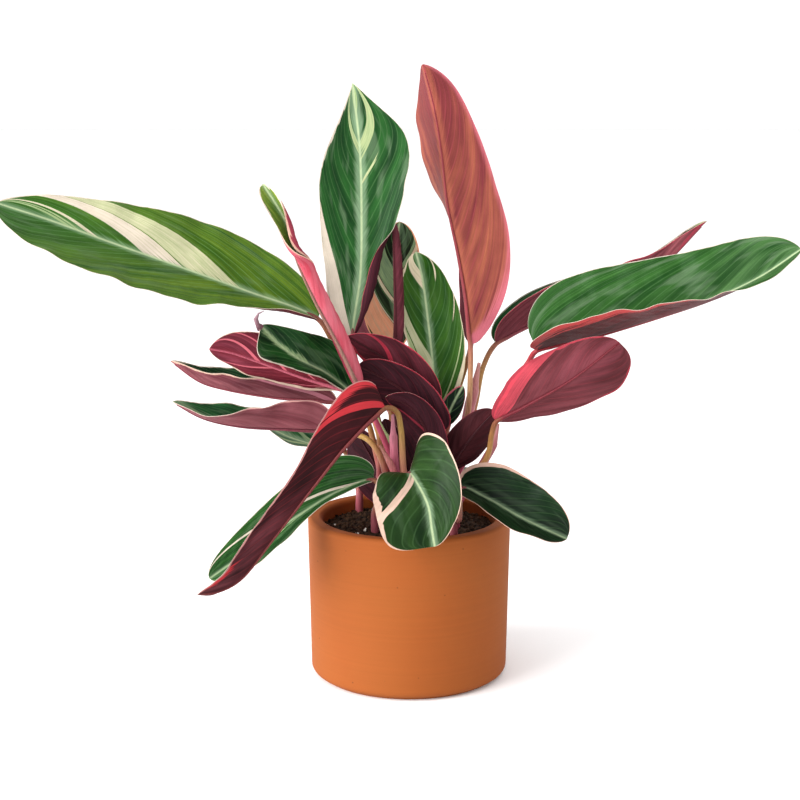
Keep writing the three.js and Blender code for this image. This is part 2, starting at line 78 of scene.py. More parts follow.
# ---- Shapes of the leaves ----


def half(width, widest=0.45, fullness=1.15, fold=10, curl=0):
    """One half of a blade: its width, where it is widest, how full its outline is, the angle
    it stands up at and its further turn towards the margin. Width, fold and curl are single
    numbers or lists from base to tip."""
    return dict(width=width, widest=widest, fullness=fullness, fold=fold, curl=curl)


# Foot in the soil, points of the stem and of the midrib, and where the face looks
LEAVES = {
    "leaf_left_long": dict(
        foot=(-15, 14), stem=[(-20, 10, 175), (-36, 3, 225), (-56, -2, 250)], face=[(0.2, -0.75, 0.66)],
        blade=[
            (-66, -8, 266), (-117, -14, 287), (-166, -22, 306), (-213, -30, 324), (-251, -37, 339),
            (-285, -44, 351),
        ],
        left=half((30, 35, 38, 46, 58), 0.48, 1, fold=20, curl=(100, 50, 0, 0, 0, 0)),
        right=half((43, 40, 37, 33, 31), 0.45, 1.25, fold=20),
    ),
    "leaf_right_long": dict(
        foot=(25, 8), stem=[(70, 13, 203), (87, 4, 232)], face=[(0, -0.47, 0.88)],
        blade=[
            (93, -2, 242), (137, -10, 255), (179, -18, 269), (216, -26, 283), (246, -34, 299),
            (272, -42, 319),
        ],
        left=half((60, 49, 43, 46, 62), 0.38, 0.95, fold=50),
        right=half((50, 44, 42, 54, 58), 0.38, 0.95, fold=(55, 57, 48, 36, 24)),
    ),
    "leaf_right_hidden": dict(
        foot=(24, 30), stem=[(49, 40, 189), (57, 52, 222)], face=[(0, 0, 1)],
        blade=[(67, 60, 238), (95, 72, 252), (142, 90, 267), (194, 104, 289), (235, 112, 328)],
        left=half((27, 25, 18, 17), 0.4, 1, fold=70), right=half(28, 0.32, 1.3, fold=70),
    ),
    "leaf_right_low": dict(
        foot=(24, -10), stem=[(56, -14, 164), (60, -18, 184)], face=[(0, 0.9, 0.3)],
        blade=[(63, -20, 193), (81, -24, 204), (115, -34, 226), (147, -44, 254)],
        left=half((16, 20, 26, 33, 34), 0.6, 0.9, curl=10), right=half((20, 27, 28, 31), 0.42, 1, curl=10),
    ),
    "leaf_top_middle": dict(
        foot=(-6, 26), stem=[(-24, 28, 179), (-39, 24, 228)], face=[(0, -1, 0.1)],
        blade=[(-42, 20, 248), (-36, 26, 294), (-35, 28, 338), (-36, 26, 386), (-41, 18, 433)],
        left=half((33, 28, 32, 39, 26), 0.39, 1.55, fold=5, curl=10),
        right=half((34, 33, 31, 34, 44, 20), 0.5, 1.3, fold=(0, 0, 5, 5), curl=(250, 240, 60, 10, 10)),
    ),
    "leaf_top_hidden": dict(
        foot=(2, 30), stem=[(-13, 30, 184)], face=[(0, -1, 0.1)],
        blade=[(-9, 40, 235), (-10, 46, 273), (-10, 48, 307), (-7, 34, 333)],
        left=half(26, 0.4, curl=10), right=half(20, 0.6, curl=10),
    ),
    "leaf_top_right": dict(
        foot=(19, 18), stem=[(43, 24, 185), (46, 30, 219)], face=[(0.65, 0.75, 0)],
        blade=[
            (46, 34, 241), (43, 38, 274), (37, 42, 308), (29, 45, 345), (24, 45, 385), (18, 42, 418),
            (10, 38, 447),
        ],
        left=half((34, 41, 41, 38, 37, 46), 0.45, 1.3, fold=45),
        right=half((20, 28, 33, 38, 47, 26), 0.58, 1.2, fold=(85, 85, 60, 34, 30, 34)),
    ),
    "leaf_middle_right": dict(
        foot=(10, 20), stem=[(18, 24, 178)], face=[(0.1, -1, 0.2)],
        blade=[(21, 28, 194), (18, 35, 226), (14, 40, 261), (10, 38, 290), (5, 29, 311)],
        left=half(20, 0.6, curl=10), right=half(26, 0.42, curl=10),
    ),
    "leaf_left_spear": dict(
        foot=(-9, -13), stem=[(-11, -16, 159), (-18, -19, 179), (-28, -23, 202)],
        face=[(0, 1, 0.2), (0.3, 1, 0.2), (0.8, 0.7, 0.2), (0, -1, 0.2), (0, -1, 0.3)],
        blade=[
            (-36, -26, 219), (-50, -28, 249), (-67, -31, 283), (-80, -36, 315), (-86, -40, 338),
            (-101, -44, 364),
        ],
        left=half(
            (26, 21, 16, 13, 15, 12), 0.5, 0.5, fold=(45, 45, 45, 45, 45, 25),
            curl=(135, 135, 135, 135, 60, 0),
        ),
        right=half(
            (24, 20, 15, 12, 15, 7), 0.5, 0.5, fold=(45, 45, 45, 45, 45, 25),
            curl=(135, 135, 135, 140, 145, 0),
        ),
    ),
    "leaf_top_spear": dict(
        foot=(1, 14), stem=[(-9, 22, 187)], face=[(0.5, 0.8, 0)],
        blade=[(-10, 27, 228), (-10, 22, 269), (-11, 19, 304), (-12, 22, 333)],
        left=half(11, 0.45, 0.5, fold=50, curl=110), right=half(11, 0.45, 0.5, fold=50, curl=110),
    ),
    "leaf_left_pink": dict(
        foot=(-15, -3), stem=[(-17, -2, 168), (-31, -4, 202)], face=[(0, 0.85, 0.5)],
        blade=[(-46, -6, 213), (-76, -8, 223), (-109, -10, 235), (-129, -12, 242), (-144, -14, 245)],
        left=half((22, 22, 24, 28), 0.55, 1.5), right=half((13, 13, 15, 19), 0.55, 1.5, fold=0),
    ),
    "leaf_left_green": dict(
        foot=(-23, -9), stem=[(-22, -9, 180), (-31, -10, 204)], face=[(0, -0.75, 0.66)],
        blade=[(-40, -11, 211), (-59, -16, 227), (-79, -28, 240), (-94, -36, 253), (-104, -44, 266)],
        left=half((10, 12, 17, 32), 0.75, 0.7, fold=25), right=half((27, 24, 21, 20), 0.42, fold=25),
    ),
    "leaf_left_dark": dict(
        foot=(-18, 20), stem=[(-25, 16, 164), (-34, 16, 191)], face=[(0, 0, 1)],
        blade=[(-54, 14, 201), (-99, 14, 205), (-135, 12, 211), (-154, 10, 217), (-175, 6, 233)],
        left=half((28, 19, 17, 13), fold=55), right=half((20, 20, 20, 15), fold=60),
    ),
    "leaf_left_low": dict(
        foot=(-15, -20), stem=[(-17, -19, 153), (-22, -19, 169), (-31, -14, 179)], face=[(0, 0, 1)],
        blade=[(-53, -2, 182), (-87, -6, 185), (-123, -12, 188), (-149, -18, 195), (-170, -24, 208)],
        left=half((44, 27, 22, 16), fold=(65, 62, 50, 24, 8)), right=half((15, 16, 19, 14), 0.5, fold=50),
    ),
    "leaf_left_back": dict(
        foot=(-38, 42), stem=[(-43, 54, 143)], face=[(0, -0.3, 1)],
        blade=[(-52, 55, 157), (-72, 54, 160), (-92, 54, 166), (-109, 56, 174)],
        left=half(20, fold=20), right=half(18, fold=20),
    ),
    "leaf_middle_high": dict(
        foot=(8, 8), stem=[(20, 4, 186)], face=[(0.2, 0.9, 0.3)],
        blade=[(18, 4, 198), (4, 8, 215), (-16, 10, 233), (-45, 4, 252)],
        left=half(19, 0.4, curl=10), right=half(16, 0.4, fold=0),
    ),
    "leaf_middle_low": dict(
        foot=(14, -8), stem=[], face=[(0.2, 0.9, 0.3)],
        blade=[(23, -6, 183), (12, -4, 198), (-7, -4, 215), (-37, -8, 232)],
        left=half(17, 0.45, 0.8, curl=10), right=half(22, 0.45, 0.8, fold=5),
    ),
    "leaf_middle_curled": dict(
        foot=(8, -18), stem=[], face=[(0.2, 0.9, 0.3)],
        blade=[(15, -15, 140), (15, -15, 170), (10, -15, 190), (-1, -16, 204), (-17, -20, 211)],
        left=half(14, curl=10), right=half((28, 22, 14), curl=10),
    ),
    "leaf_right_dark": dict(
        foot=(17, -2), stem=[], face=[(0.1, 0.9, 0.3)],
        blade=[(27, 2, 150), (38, 0, 167), (51, 0, 184), (63, 0, 197)],
        left=half((8, 14, 17, 17), 0.45, 0.9, curl=10), right=half(15, 0.45, 0.9, curl=10),
    ),
    "leaf_heart_small": dict(
        foot=(18, 10), stem=[], face=[(0, -1, 0.2)],
        blade=[(26, 12, 183), (32, 14, 198), (40, 16, 213)],
        left=half(8), right=half(8),
    ),
    "leaf_heart_dark": dict(
        foot=(-12, 38), stem=[], face=[(0.2, 0.8, 0.3)],
        blade=[(-14, 34, 118), (-25, 34, 148), (-42, 37, 178)],
        left=half(13), right=half(22, fold=0),
    ),
    "leaf_heart_shade": dict(
        foot=(-2, 2), stem=[], face=[(0.1, 0.9, 0.2)],
        blade=[(-5, 2, 132), (-10, 1, 162), (-18, 1, 191)],
        left=half(12, fold=5), right=half(12, fold=5),
    ),
    "leaf_front_hanging": dict(
        foot=(1, -24), stem=[(-4, -29, 157), (-6, -32, 189), (-9, -36, 203)], face=[(-0.65, 0.5, 0.57)],
        blade=[
            (-17, -43, 207), (-42, -60, 187), (-66, -74, 159), (-93, -92, 126), (-116, -104, 99),
            (-131, -108, 92), (-144, -110, 91),
        ],
        left=half((34, 25, 19, 22, 34, 60), 0.2, 1, fold=(62, 62, 62, 50, 15)),
        right=half((22, 22, 22, 26, 32, 40), 0.3, 1.2, fold=(62, 62, 62, 50, 10)),
    ),
    "leaf_rim_left": dict(
        foot=(-25, -22), stem=[(-19, -29, 144)], face=[(-0.2, -0.8, 0.6)],
        blade=[(-26, -26, 151), (-50, -34, 145), (-78, -44, 130), (-107, -54, 111), (-141, -66, 89)],
        left=half((8, 6, 18, 26), 0.45, 0.9, fold=25), right=half((36, 25, 20, 19), 0.45, 0.9, fold=25),
    ),
    "leaf_rim_middle": dict(
        foot=(8, -30), stem=[], face=[(0, -0.3, 1), (0, -1, 0.3)],
        blade=[(0, -44, 160), (7, -62, 154), (13, -80, 144), (15, -90, 132), (17, -93, 120)],
        left=half((46, 36, 27, 21), 0.35, 0.8, fold=(72, 50, 20, 10)),
        right=half((36, 37, 38, 40), 0.55, 0.5),
    ),
    "leaf_rim_right": dict(
        foot=(32, -38), stem=[(35, -38, 124)], face=[(0.1, -0.7, 0.7)],
        blade=[(38, -40, 148), (54, -50, 144), (78, -64, 133), (109, -78, 121)],
        left=half((34, 28, 27, 28), 0.45, 0.8, fold=25), right=half((24, 23, 28, 34), 0.45, 0.8, fold=38),
    ),
    "leaf_back_high_left": dict(
        foot=(-4, 40), stem=[(-12, 46, 180)], face=[(0, 1, 0.2)],
        blade=[(-24, 54, 235), (-30, 62, 280), (-32, 66, 330), (-30, 58, 380)],
        left=half(24, fold=15), right=half(24, fold=15),
    ),
    "leaf_back_high_right": dict(
        foot=(17, 44), stem=[(34, 52, 190)], face=[(0.2, 1, 0.1)],
        blade=[(48, 60, 238), (54, 69, 290), (50, 73, 330), (42, 72, 368)],
        left=half(17, fold=15), right=half(17, fold=15),
    ),
    "leaf_back_low_left": dict(
        foot=(-22, 50), stem=[], face=[(-0.3, 0.4, 1)],
        blade=[(-34, 66, 150), (-50, 88, 152), (-66, 110, 138), (-76, 126, 108)],
        left=half(22, fold=15), right=half(22, fold=15),
    ),
    "leaf_back_low_middle": dict(
        foot=(4, 52), stem=[], face=[(0, 0.3, 1)],
        blade=[(6, 68, 165), (8, 98, 176), (10, 130, 160), (8, 150, 128)],
        left=half(28, fold=15), right=half(28, fold=15),
    ),
    "leaf_back_low_right": dict(
        foot=(30, 42), stem=[], face=[(0.3, 0.4, 1)],
        blade=[(40, 60, 130), (58, 80, 130), (78, 102, 118), (92, 116, 100)],
        left=half(20, fold=15), right=half(22, fold=15),
    ),
}

# Young shoots, the sheaths of leaves still to come: foot, radius, path and colours upwards
SHOOTS = {
    "shoot_front": (
        (-5, -20), 3, [(-10, -23, 157), (-12, -26, 199)], ("#D0506E", "#E4708A", "#D88E9C"),
    ),
    "shoot_pale": (
        (-8, -4), 2.4, [(-10, -8, 154), (-14, -9, 172), (-23, -11, 194)],
        ("#C9A070", "#D5DBA0", "#B9C98A"),
    ),
    "shoot_short": (
        (-10, -30), 2.4, [(-11, -30, 157), (-21, -32, 178)], ("#B0405A", "#C4526B", "#C98A7A"),
    ),
    "shoot_right_high": (
        (34, 22), 4.2, [(45, 33, 190), (49, 35, 207), (53, 37, 227)],
        ("#B04A60", "#DC6E86", "#E6A49C"),
    ),
    "shoot_right_low": (
        (34, -12), 3, [(56, -3, 161), (62, -7, 174), (65, -10, 189)],
        ("#B04A60", "#C4526B", "#C98A8A"),
    ),
}


# ---- Colours of the leaves ----

ROSE_STEM = ("#C4526B", "#B8904A", "#A0505A")
DARK_STEM = ("#A04858", "#A87A48", "#4A1820")
DARK_UNDER = ("#2C0F17", "#4C222C")

# How a leaf is coloured where its row in LOOKS says nothing else. A band is (from, to,
# paleness) along the midrib, at will with the shares of the half width it runs between, and
# follows the veins to the margin. Rims are in mm, single or from base to tip. Pairs of colours
# are the dark and the light one, and stem colours are those of foot, neck and rib. Side veins
# lean towards the tip, cling to the margin and stand out (ribs) as much as given. Brightness
# scales the colour of the whole blade and midrib that of the line on its rib. A row can also
# give the colour of the upper tip, of the tip underneath (under_tip), of the rim underneath
# (edge), and the path of a thin curled tip (drip).
# The row's sheen share sets how strong the patches of painted sheen are on the upper side.
PLAIN_LOOK = dict(
    left_bands=(), right_bands=(), green=("#123D24", "#2C6B33"), cream="#F3E3D0",
    under=("#5A2630", "#8C4A54"), blush="#D84C62", left_rim=0.4, right_rim=0.4, soft_rim=0.2,
    frost=0.5, patch_and_sheen=0.3, ribs=0.3, midrib=0.9, brightness=1.0, wave=1.2, lean=1.3, cling=0.6,
    stem=("#B8606A", "#B58A45", "#8A4450"), drip=(),
)

LOOKS = {
    "leaf_left_long": dict(
        right_bands=[
            (0.25, 0.42, 0.6), (0.42, 0.55, 0.95), (0.69, 0.715, 0.8), (0.74, 0.755, 0.3),
            (0.765, 0.79, 0.3),
        ],
        green=("#2E5A14", "#6A8A26"), upper_tip="#427A30", under=("#4A1A22", "#7A3A40"), edge="#E8C0A8",
        left_rim=0.3, right_rim=(0.4, 0.4, 0.5, 0.8), frost=0.28, patch_and_sheen=0.25, wave=1.6,
        stem=("#B86A5A", "#C08A4A", "#8C4A54"),
    ),
    "leaf_left_spear": dict(
        # The band on its right half turns the underside there to the darker rose blush: painted shade on
        # the side of the roll turned from the light.
        right_bands=[(-0.5, 0.8, 1.0)], green=("#55782A", "#8EA23E"), under=("#CC4A5C", "#E47C8A"),
        blush="#A84052", edge="#EDB8A4", left_rim=(0.3, 0.5, 0.9, 1.4, 1.6),
        right_rim=(0.3, 0.5, 0.9, 1.6, 2.2), frost=0.2, patch_and_sheen=0.0, ribs=0.1, brightness=1.15, wave=0.3,
        stem=("#C4526B", "#C4526B", "#A07468"),
    ),
    "leaf_top_middle": dict(
        left_bands=[(0.72, 0.76, 0.4), (0.88, 0.94, 0.3), (-0.5, -0.02, 1.0)],
        right_bands=[(0.7, 0.77, 0.4), (0.88, 0.94, 0.3), (0.6, 0.615, 0.5, 0.0, 0.3)],
        green=("#123C18", "#296128"), under=("#30101A", "#54222E"),
        left_rim=(2.4, 1.2, 0.3, 0.3, 1.2, 0.8), right_rim=0.3, frost=0.45, patch_and_sheen=0.55, ribs=0.2,
    ),
    "leaf_top_hidden": dict(
        left_bands=[(-0.5, 0.17, 1.0), (0.17, 0.19, 0.75), (0.33, 0.37, 0.75), (0.37, 0.6, 0.1)],
        right_bands=[(0.3, 0.34, 0.8), (0.4, 0.5, 0.8), (0.5, 0.56, 0.1)], green=("#121C10", "#2C3A22"),
        # Its raised brightness is painted light, lifting a blade that lies in the shade of other leaves.
        cream="#FFB48C", left_rim=0.8, right_rim=1.2, frost=0.2, patch_and_sheen=0.6, brightness=1.5,
    ),
    "leaf_top_right": dict(
        under=("#80363A", "#BC6A50"), under_tip="#86383A", blush="#C04C60", edge="#DC7482",
        left_rim=(12.0, 3.5, 1.5, 1.5, 1.0), right_rim=(7.0, 0.0, -3.0, -3.0, -3.0), soft_rim=3.0,
        ribs=0.7, brightness=1.12, stem=("#C8586B", "#E8B080", "#A8484E"),
    ),
    "leaf_top_spear": dict(
        under=("#4A1822", "#7E3A46"), blush="#C8506A", left_rim=(0.6, 0.6, 2.0), right_rim=0.6, wave=0.4,
        stem=("#7A2E3C", "#5A2028", "#5A2028"),
    ),
    "leaf_middle_right": dict(
        right_bands=[
            (-0.5, -0.3, 1.0), (0.225, 0.25, 1.0, 0.78, 1.0), (0.62, 0.65, 0.9, 0.6, 1.0),
            (-0.1, -0.06, 0.4),
        ],
        left_bands=[(0.73, 0.86, 1.0), (0.1, 0.3, 0.62), (-0.5, 0.06, 0.45)],
        green=("#1A4A14", "#42701E"), cream="#F7E6C4", left_rim=(1.5, 1.0, 1.6, 1.2),
        right_rim=(2.0, 1.2, 0.5, 0.3, 0.3), frost=0.3, patch_and_sheen=0.1, ribs=0.25,
    ),
    "leaf_right_long": dict(
        # Its paler grey-green tip and its strong pale patches are painted sheen.
        green=("#1A4A16", "#3C702E"), upper_tip="#5E8A50", under=("#4E0C12", "#72242A"), blush="#CC3A40",
        edge="#DC4A4A", right_rim=(14.0, 9.0, 5.0, 1.0, 0.4), frost=0.15, patch_and_sheen=0.6, ribs=0.22, wave=1.6,
        stem=("#C4526B", "#D04A50", "#B03A44"),
    ),
    "leaf_right_hidden": dict(
        left_bands=[(0.82, 1.0, 0.3)], right_bands=[(0.82, 1.0, 0.3)], upper_tip="#B0606A",
        under=("#66242F", "#8E444E"), under_tip="#C87078", left_rim=0.8, right_rim=0.8, frost=0.4,
        stem=("#C4526B", "#D0A060", "#A0505A"),
    ),
    "leaf_right_low": dict(
        right_bands=[(-0.5, -0.24, 0.9), (-0.24, 0.06, 0.3)], under=("#622A30", "#88444C"),
        under_tip="#8E4450", blush="#E24C5C", edge="#B8404E", left_rim=(0.4, 0.4, 0.4, 1.8, 1.2),
        right_rim=(3.0, 2.5, 2.0, 1.5, 0.8), ribs=0.2, stem=("#B8606A", "#CE9A58", "#7A2430"),
    ),
    "leaf_left_pink": dict(
        left_bands=[(0.62, 0.66, 0.6), (0.42, 0.45, 0.5), (0.2, 0.22, 0.5)],
        right_bands=[(0.5, 0.53, 0.5), (0.0, 0.03, 0.6, 0.2, 0.7)], under=("#581522", "#842B38"),
        under_tip="#984456", blush="#E0707E", edge="#EFCDB8", left_rim=0.5,
        right_rim=(1.0, 2.4, 1.6, 0.8, 0.6), wave=1.8, stem=("#C4526B", "#B8904A", "#D0687A"),
    ),
    "leaf_left_green": dict(
        left_bands=[(0.5, 0.95, 0.2, 0.0, 0.06), (0.7, 0.74, 0.4, 0.1, 0.7)],
        right_bands=[(0.45, 0.9, 0.2, 0.0, 0.08)], green=("#0A2C14", "#245824"),
        under=("#7A4A56", "#96707A"), left_rim=(0.6, 0.8, 1.1, 1.4), right_rim=0.3, frost=0.2, ribs=0.2,
        midrib=0.6, wave=0.8, stem=ROSE_STEM,
        drip=[(-105, -46, 264), (-107, -48, 271), (-105, -49, 275), (-101, -50, 277)],
    ),
    "leaf_left_dark": dict(
        left_bands=[(-0.06, 0.05, 0.8)], green=("#122C1C", "#2A5030"), under=("#6A303A", "#94525A"),
        under_tip="#A4646A", blush="#CE8090", edge="#EBC0AC", left_rim=1.2, right_rim=0.8,
        brightness=1.15, wave=1.8, stem=ROSE_STEM,
    ),
    "leaf_left_low": dict(
        right_bands=[(0.7, 0.74, 0.2, 0.2, 0.8)], green=("#12351F", "#2F6B3A"),
        under=("#7A3E46", "#A05C64"), blush="#D8506A", edge="#E9A9A4", left_rim=0.9, right_rim=0.8,
        brightness=1.1, wave=1.8, stem=("#C05A70", "#B8904A", "#8A4450"),
    ),
    "leaf_left_back": dict(
        left_bands=[(0.3, 0.4, 0.3)], right_bands=[(0.3, 0.4, 0.1)], left_rim=1.0, right_rim=1.0,
        patch_and_sheen=0.8,
    ),
    "leaf_middle_high": dict(
        left_bands=[(0.5, 0.56, 0.6)], right_bands=[(0.42, 0.46, 0.6)], under=("#421820", "#702E3A"),
        under_tip="#8C4452", blush="#CC3E52", left_rim=0.6, right_rim=(1.2, 2.0, 1.8), stem=DARK_STEM,
    ),
    "leaf_middle_low": dict(
        under=DARK_UNDER, blush="#B03444", left_rim=0.7, right_rim=(0.8, 1.5, 1.5), stem=DARK_STEM,
    ),
    "leaf_middle_curled": dict(
        right_bands=[(0.5, 0.54, 0.5)], under=DARK_UNDER, blush="#9A3040", left_rim=0.5, right_rim=0.5,
        stem=DARK_STEM,
    ),
    "leaf_right_dark": dict(under=("#3C161C", "#5E2A30"), blush="#8A4048", stem=DARK_STEM),
    "leaf_heart_small": dict(
        green=("#0A1B12", "#142C1B"), cream="#D8707A", left_rim=1.3, right_rim=0.5, frost=0.05,
        patch_and_sheen=0.0, stem=ROSE_STEM,
    ),
    "leaf_heart_dark": dict(under=DARK_UNDER, blush="#9A3040", stem=DARK_STEM),
    "leaf_heart_shade": dict(under=DARK_UNDER, blush="#9A3040", stem=DARK_STEM),
    "leaf_front_hanging": dict(
        left_bands=[(-0.05, 0.0, 1.0), (-0.5, -0.06, 1.0, 0.82, 1.0), (0.62, 0.8, 0.9, 0.75, 1.0)],
        right_bands=[(-0.045, 0.015, 1.0)], under=("#260A0E", "#44141A"), under_tip="#7E4048",
        blush="#CC3840", edge="#C88A86", left_rim=0.9, right_rim=(0.5, 0.5, 0.5, 0.8), wave=1.4, lean=0.7,
        cling=0.1, stem=("#B8606A", "#B8924E", "#7A3838"),
    ),
    "leaf_rim_left": dict(
        left_bands=[(0.3, 0.34, 0.2)], right_bands=[(0.06, 0.13, 0.95)], green=("#103A14", "#306428"),
        left_rim=0.3, right_rim=(0.6, 0.5, 0.3), frost=0.12, midrib=0.5, lean=3.8, cling=0.0,
    ),
    "leaf_rim_middle": dict(
        right_bands=[(0.04, 0.16, 1.0)], green=("#122C10", "#2E4E20"), cream="#F3CDB8",
        left_rim=(2.2, 1.0, 0.6, 0.8), right_rim=(0.3, 1.0, 4.0, 4.5, 3.0, 1.0), frost=0.3, patch_and_sheen=0.15,
        ribs=0.1, lean=1.0, cling=0.0, stem=("#C08A80", "#C9A58A", "#8A4450"),
    ),
    "leaf_rim_right": dict(
        green=("#06180A", "#133216"), cream="#F0C4B0", left_rim=(4.0, 2.0, 0.6, 0.4, 0.6),
        right_rim=(0.3, 0.3, 0.8), frost=0.2, patch_and_sheen=0.12, ribs=0.1, midrib=0.4, brightness=0.9,
        stem=("#B8606A", "#C08A6A", "#8A4450"),
    ),
    "leaf_back_high_left": dict(left_bands=[(0.2, 0.36, 0.9)], right_bands=[(0.55, 0.66, 0.6)]),
    "leaf_back_high_right": dict(left_bands=[(0.4, 0.44, 0.5)], right_bands=[(0.1, 0.3, 1.0)]),
    "leaf_back_low_left": dict(left_bands=[(0.3, 0.5, 1.0)], right_bands=[(0.1, 0.18, 0.5)]),
    "leaf_back_low_middle": dict(left_bands=[(-0.3, 0.05, 1.0)], right_bands=[(0.35, 0.5, 0.8)]),
    "leaf_back_low_right": dict(left_bands=[(0.1, 0.25, 0.9)], right_bands=[(0.5, 0.6, 0.4)]),
}


# ---- Geometry of the leaves ----

ROUTE_SAMPLES = 240
DIRECTION_STEP = 1e-4
# The fold stands up over this share of the half width, and the curl grows on from there
CREASE = 0.08
FINE_STEPS = 4
# Share of the rows that crowd towards base and tip
CROWDING = 0.6
# The margin is thinner than the midrib by this share
MARGIN_THINNING = 0.5
# A margin waves fully where the half blade is at least this wide
FULL_WAVE_WIDTH = 18
WAVE_LENGTH = 42
PLEAT_HEIGHT = 0.25
PLEAT_WIDTH = 11.0


def spread(values, t):
    """The values at the fractions t of the smooth curve through a list that is spread
    evenly along the blade."""
    values = np.atleast_1d(np.asarray(values, dtype=float))
    if len(values) == 1:
        return np.repeat(values, len(t), axis=0)
    place = np.asarray(t) * (len(values) - 1)
    before = np.clip(np.floor(place).astype(int), 0, len(values) - 2)
    share = place - before
    if values.ndim > 1:
        share = share[:, None]
    slopes = np.gradient(values, axis=0)
    eased = share**2 * (3 - 2 * share)
    between = values[before] * (1 - eased) + values[before + 1] * eased
    leaving = slopes[before] * share * (1 - share) ** 2
    arriving = slopes[before + 1] * share**2 * (1 - share)
    return between + leaving - arriving


def route_point(points, param):
    """The point at the parameter, from 0 to 1, of the centripetal spline through points."""
    last = len(points) - 1
    place = param * last
    index = min(int(math.floor(place)), last - 1)
    weight = place - index
    p1, p2 = points[index], points[index + 1]
    p0 = points[index - 1] if index > 0 else 2 * points[0] - points[1]
    p3 = points[index + 2] if index + 2 <= last else 2 * points[last] - points[last - 1]
    d0, d1, d2 = [np.sum((b - a) ** 2) ** 0.25 for a, b in ((p0, p1), (p1, p2), (p2, p3))]
    m1 = ((p1 - p0) / d0 - (p2 - p0) / (d0 + d1) + (p2 - p1) / d1) * d1
    m2 = ((p2 - p1) / d1 - (p3 - p1) / (d1 + d2) + (p3 - p2) / d2) * d1
    square = -3 * p1 + 3 * p2 - 2 * m1 - m2
    cube = 2 * p1 - 2 * p2 + m1 + m2
    return p1 + m1 * weight + square * weight**2 + cube * weight**3


def walk(points, start, end, fractions):
    """Places and directions at measured fractions of the route between two parameters, and
    the length between them."""
    params = np.linspace(start, end, ROUTE_SAMPLES + 1)
    fine = np.array([route_point(points, param) for param in params])
    steps = np.linalg.norm(np.diff(fine, axis=0), axis=1)
    lengths = np.concatenate([[0], np.cumsum(steps)])
    at = np.interp(np.asarray(fractions) * lengths[-1], lengths, params)
    places = np.array([route_point(points, param) for param in at])
    ahead = np.array([route_point(points, min(param + DIRECTION_STEP, 1)) for param in at])
    behind = np.array([route_point(points, max(param - DIRECTION_STEP, 0)) for param in at])
    along = ahead - behind
    return places, along / np.linalg.norm(along, axis=1)[:, None], lengths[-1]


def route_of(foot, points):
    """The points of a route: straight up out of the soil, then through the given points."""
    start = [(*foot, ROUTE_START), (*foot, ROUTE_START + STEM_STRAIGHT)]
    return np.array(start + points, dtype=float)


def leaf_route(leaf):
    """The route of a leaf and the parameter at which its blade starts."""
    route = route_of(leaf["foot"], leaf["stem"] + leaf["blade"])
    return route, 1 - (len(leaf["blade"]) - 1) / (len(route) - 1)


def frames_along(route, base, face, fractions):
    """Places on the midrib with the directions across the blade and out of its face, and the
    length of the midrib."""
    places, along, length = walk(route, base, 1, fractions)
    facing = spread(face, fractions)
    up = facing - along * np.sum(facing * along, axis=1)[:, None]
    up /= np.linalg.norm(up, axis=1)[:, None]
    return places, np.cross(along, up), up, length


def half_section(shape, t, cells):
    """How far sideways and up each point of a half blade is, its slope and its width."""
    rise = shape["widest"] * shape["fullness"]
    fall = (1 - shape["widest"]) * shape["fullness"]
    peak = shape["widest"] ** rise * (1 - shape["widest"]) ** fall
    full = t**rise * (1 - t) ** fall / peak
    width = np.maximum(spread(shape["width"], t) * full, TIP_HALF_WIDTH)[:, None]
    share = np.linspace(0, 1, cells * FINE_STEPS + 1)[None, :]
    fold = np.radians(spread(shape["fold"], t))[:, None]
    curl = np.radians(spread(shape["curl"], t))[:, None]
    angle = fold * np.minimum(share / CREASE, 1) + curl * share**2
    step = width / (cells * FINE_STEPS)
    start = np.zeros((len(t), 1))
    reached = []
    for part in (np.cos(angle), np.sin(angle)):
        mean = (part[:, 1:] + part[:, :-1]) / 2
        summed = np.concatenate([start, np.cumsum(mean, axis=1)], axis=1)
        reached.append(summed[:, ::FINE_STEPS] * step)
    sideways, up = reached
    return sideways, up, angle[:, ::FINE_STEPS], width


def vein_start(t, across, course):
    """Where along the midrib the vein through a point starts, as a share of the blade."""
    lean, cling = course
    return t - lean * np.abs(across) - cling * across**4 * (1 - t)


def margin_wave(t, share, length, seed):
    """The waves of the margin: none at the midrib, full at the edge, none at base and tip."""
    # A long and a shorter wave, shifted by the seed so that no two margins are alike
    turns = length / WAVE_LENGTH
    first = np.sin(2 * np.pi * (t * turns + seed * 0.37))
    second = np.sin(2 * np.pi * (t * turns * 1.7 + seed * 0.71))
    return (0.6 * first + 0.4 * second) * share**2.5 * np.sin(np.pi * t) ** 0.5


def pleat(t, share, length, course):
    """The shallow folds between the side veins."""
    start = vein_start(t, share, course) * length
    fade = np.sin(np.pi * np.clip(share, 0, 1)) * np.sin(np.pi * t) ** 0.5
    return PLEAT_HEIGHT * np.sin(2 * np.pi * start / PLEAT_WIDTH) * fade


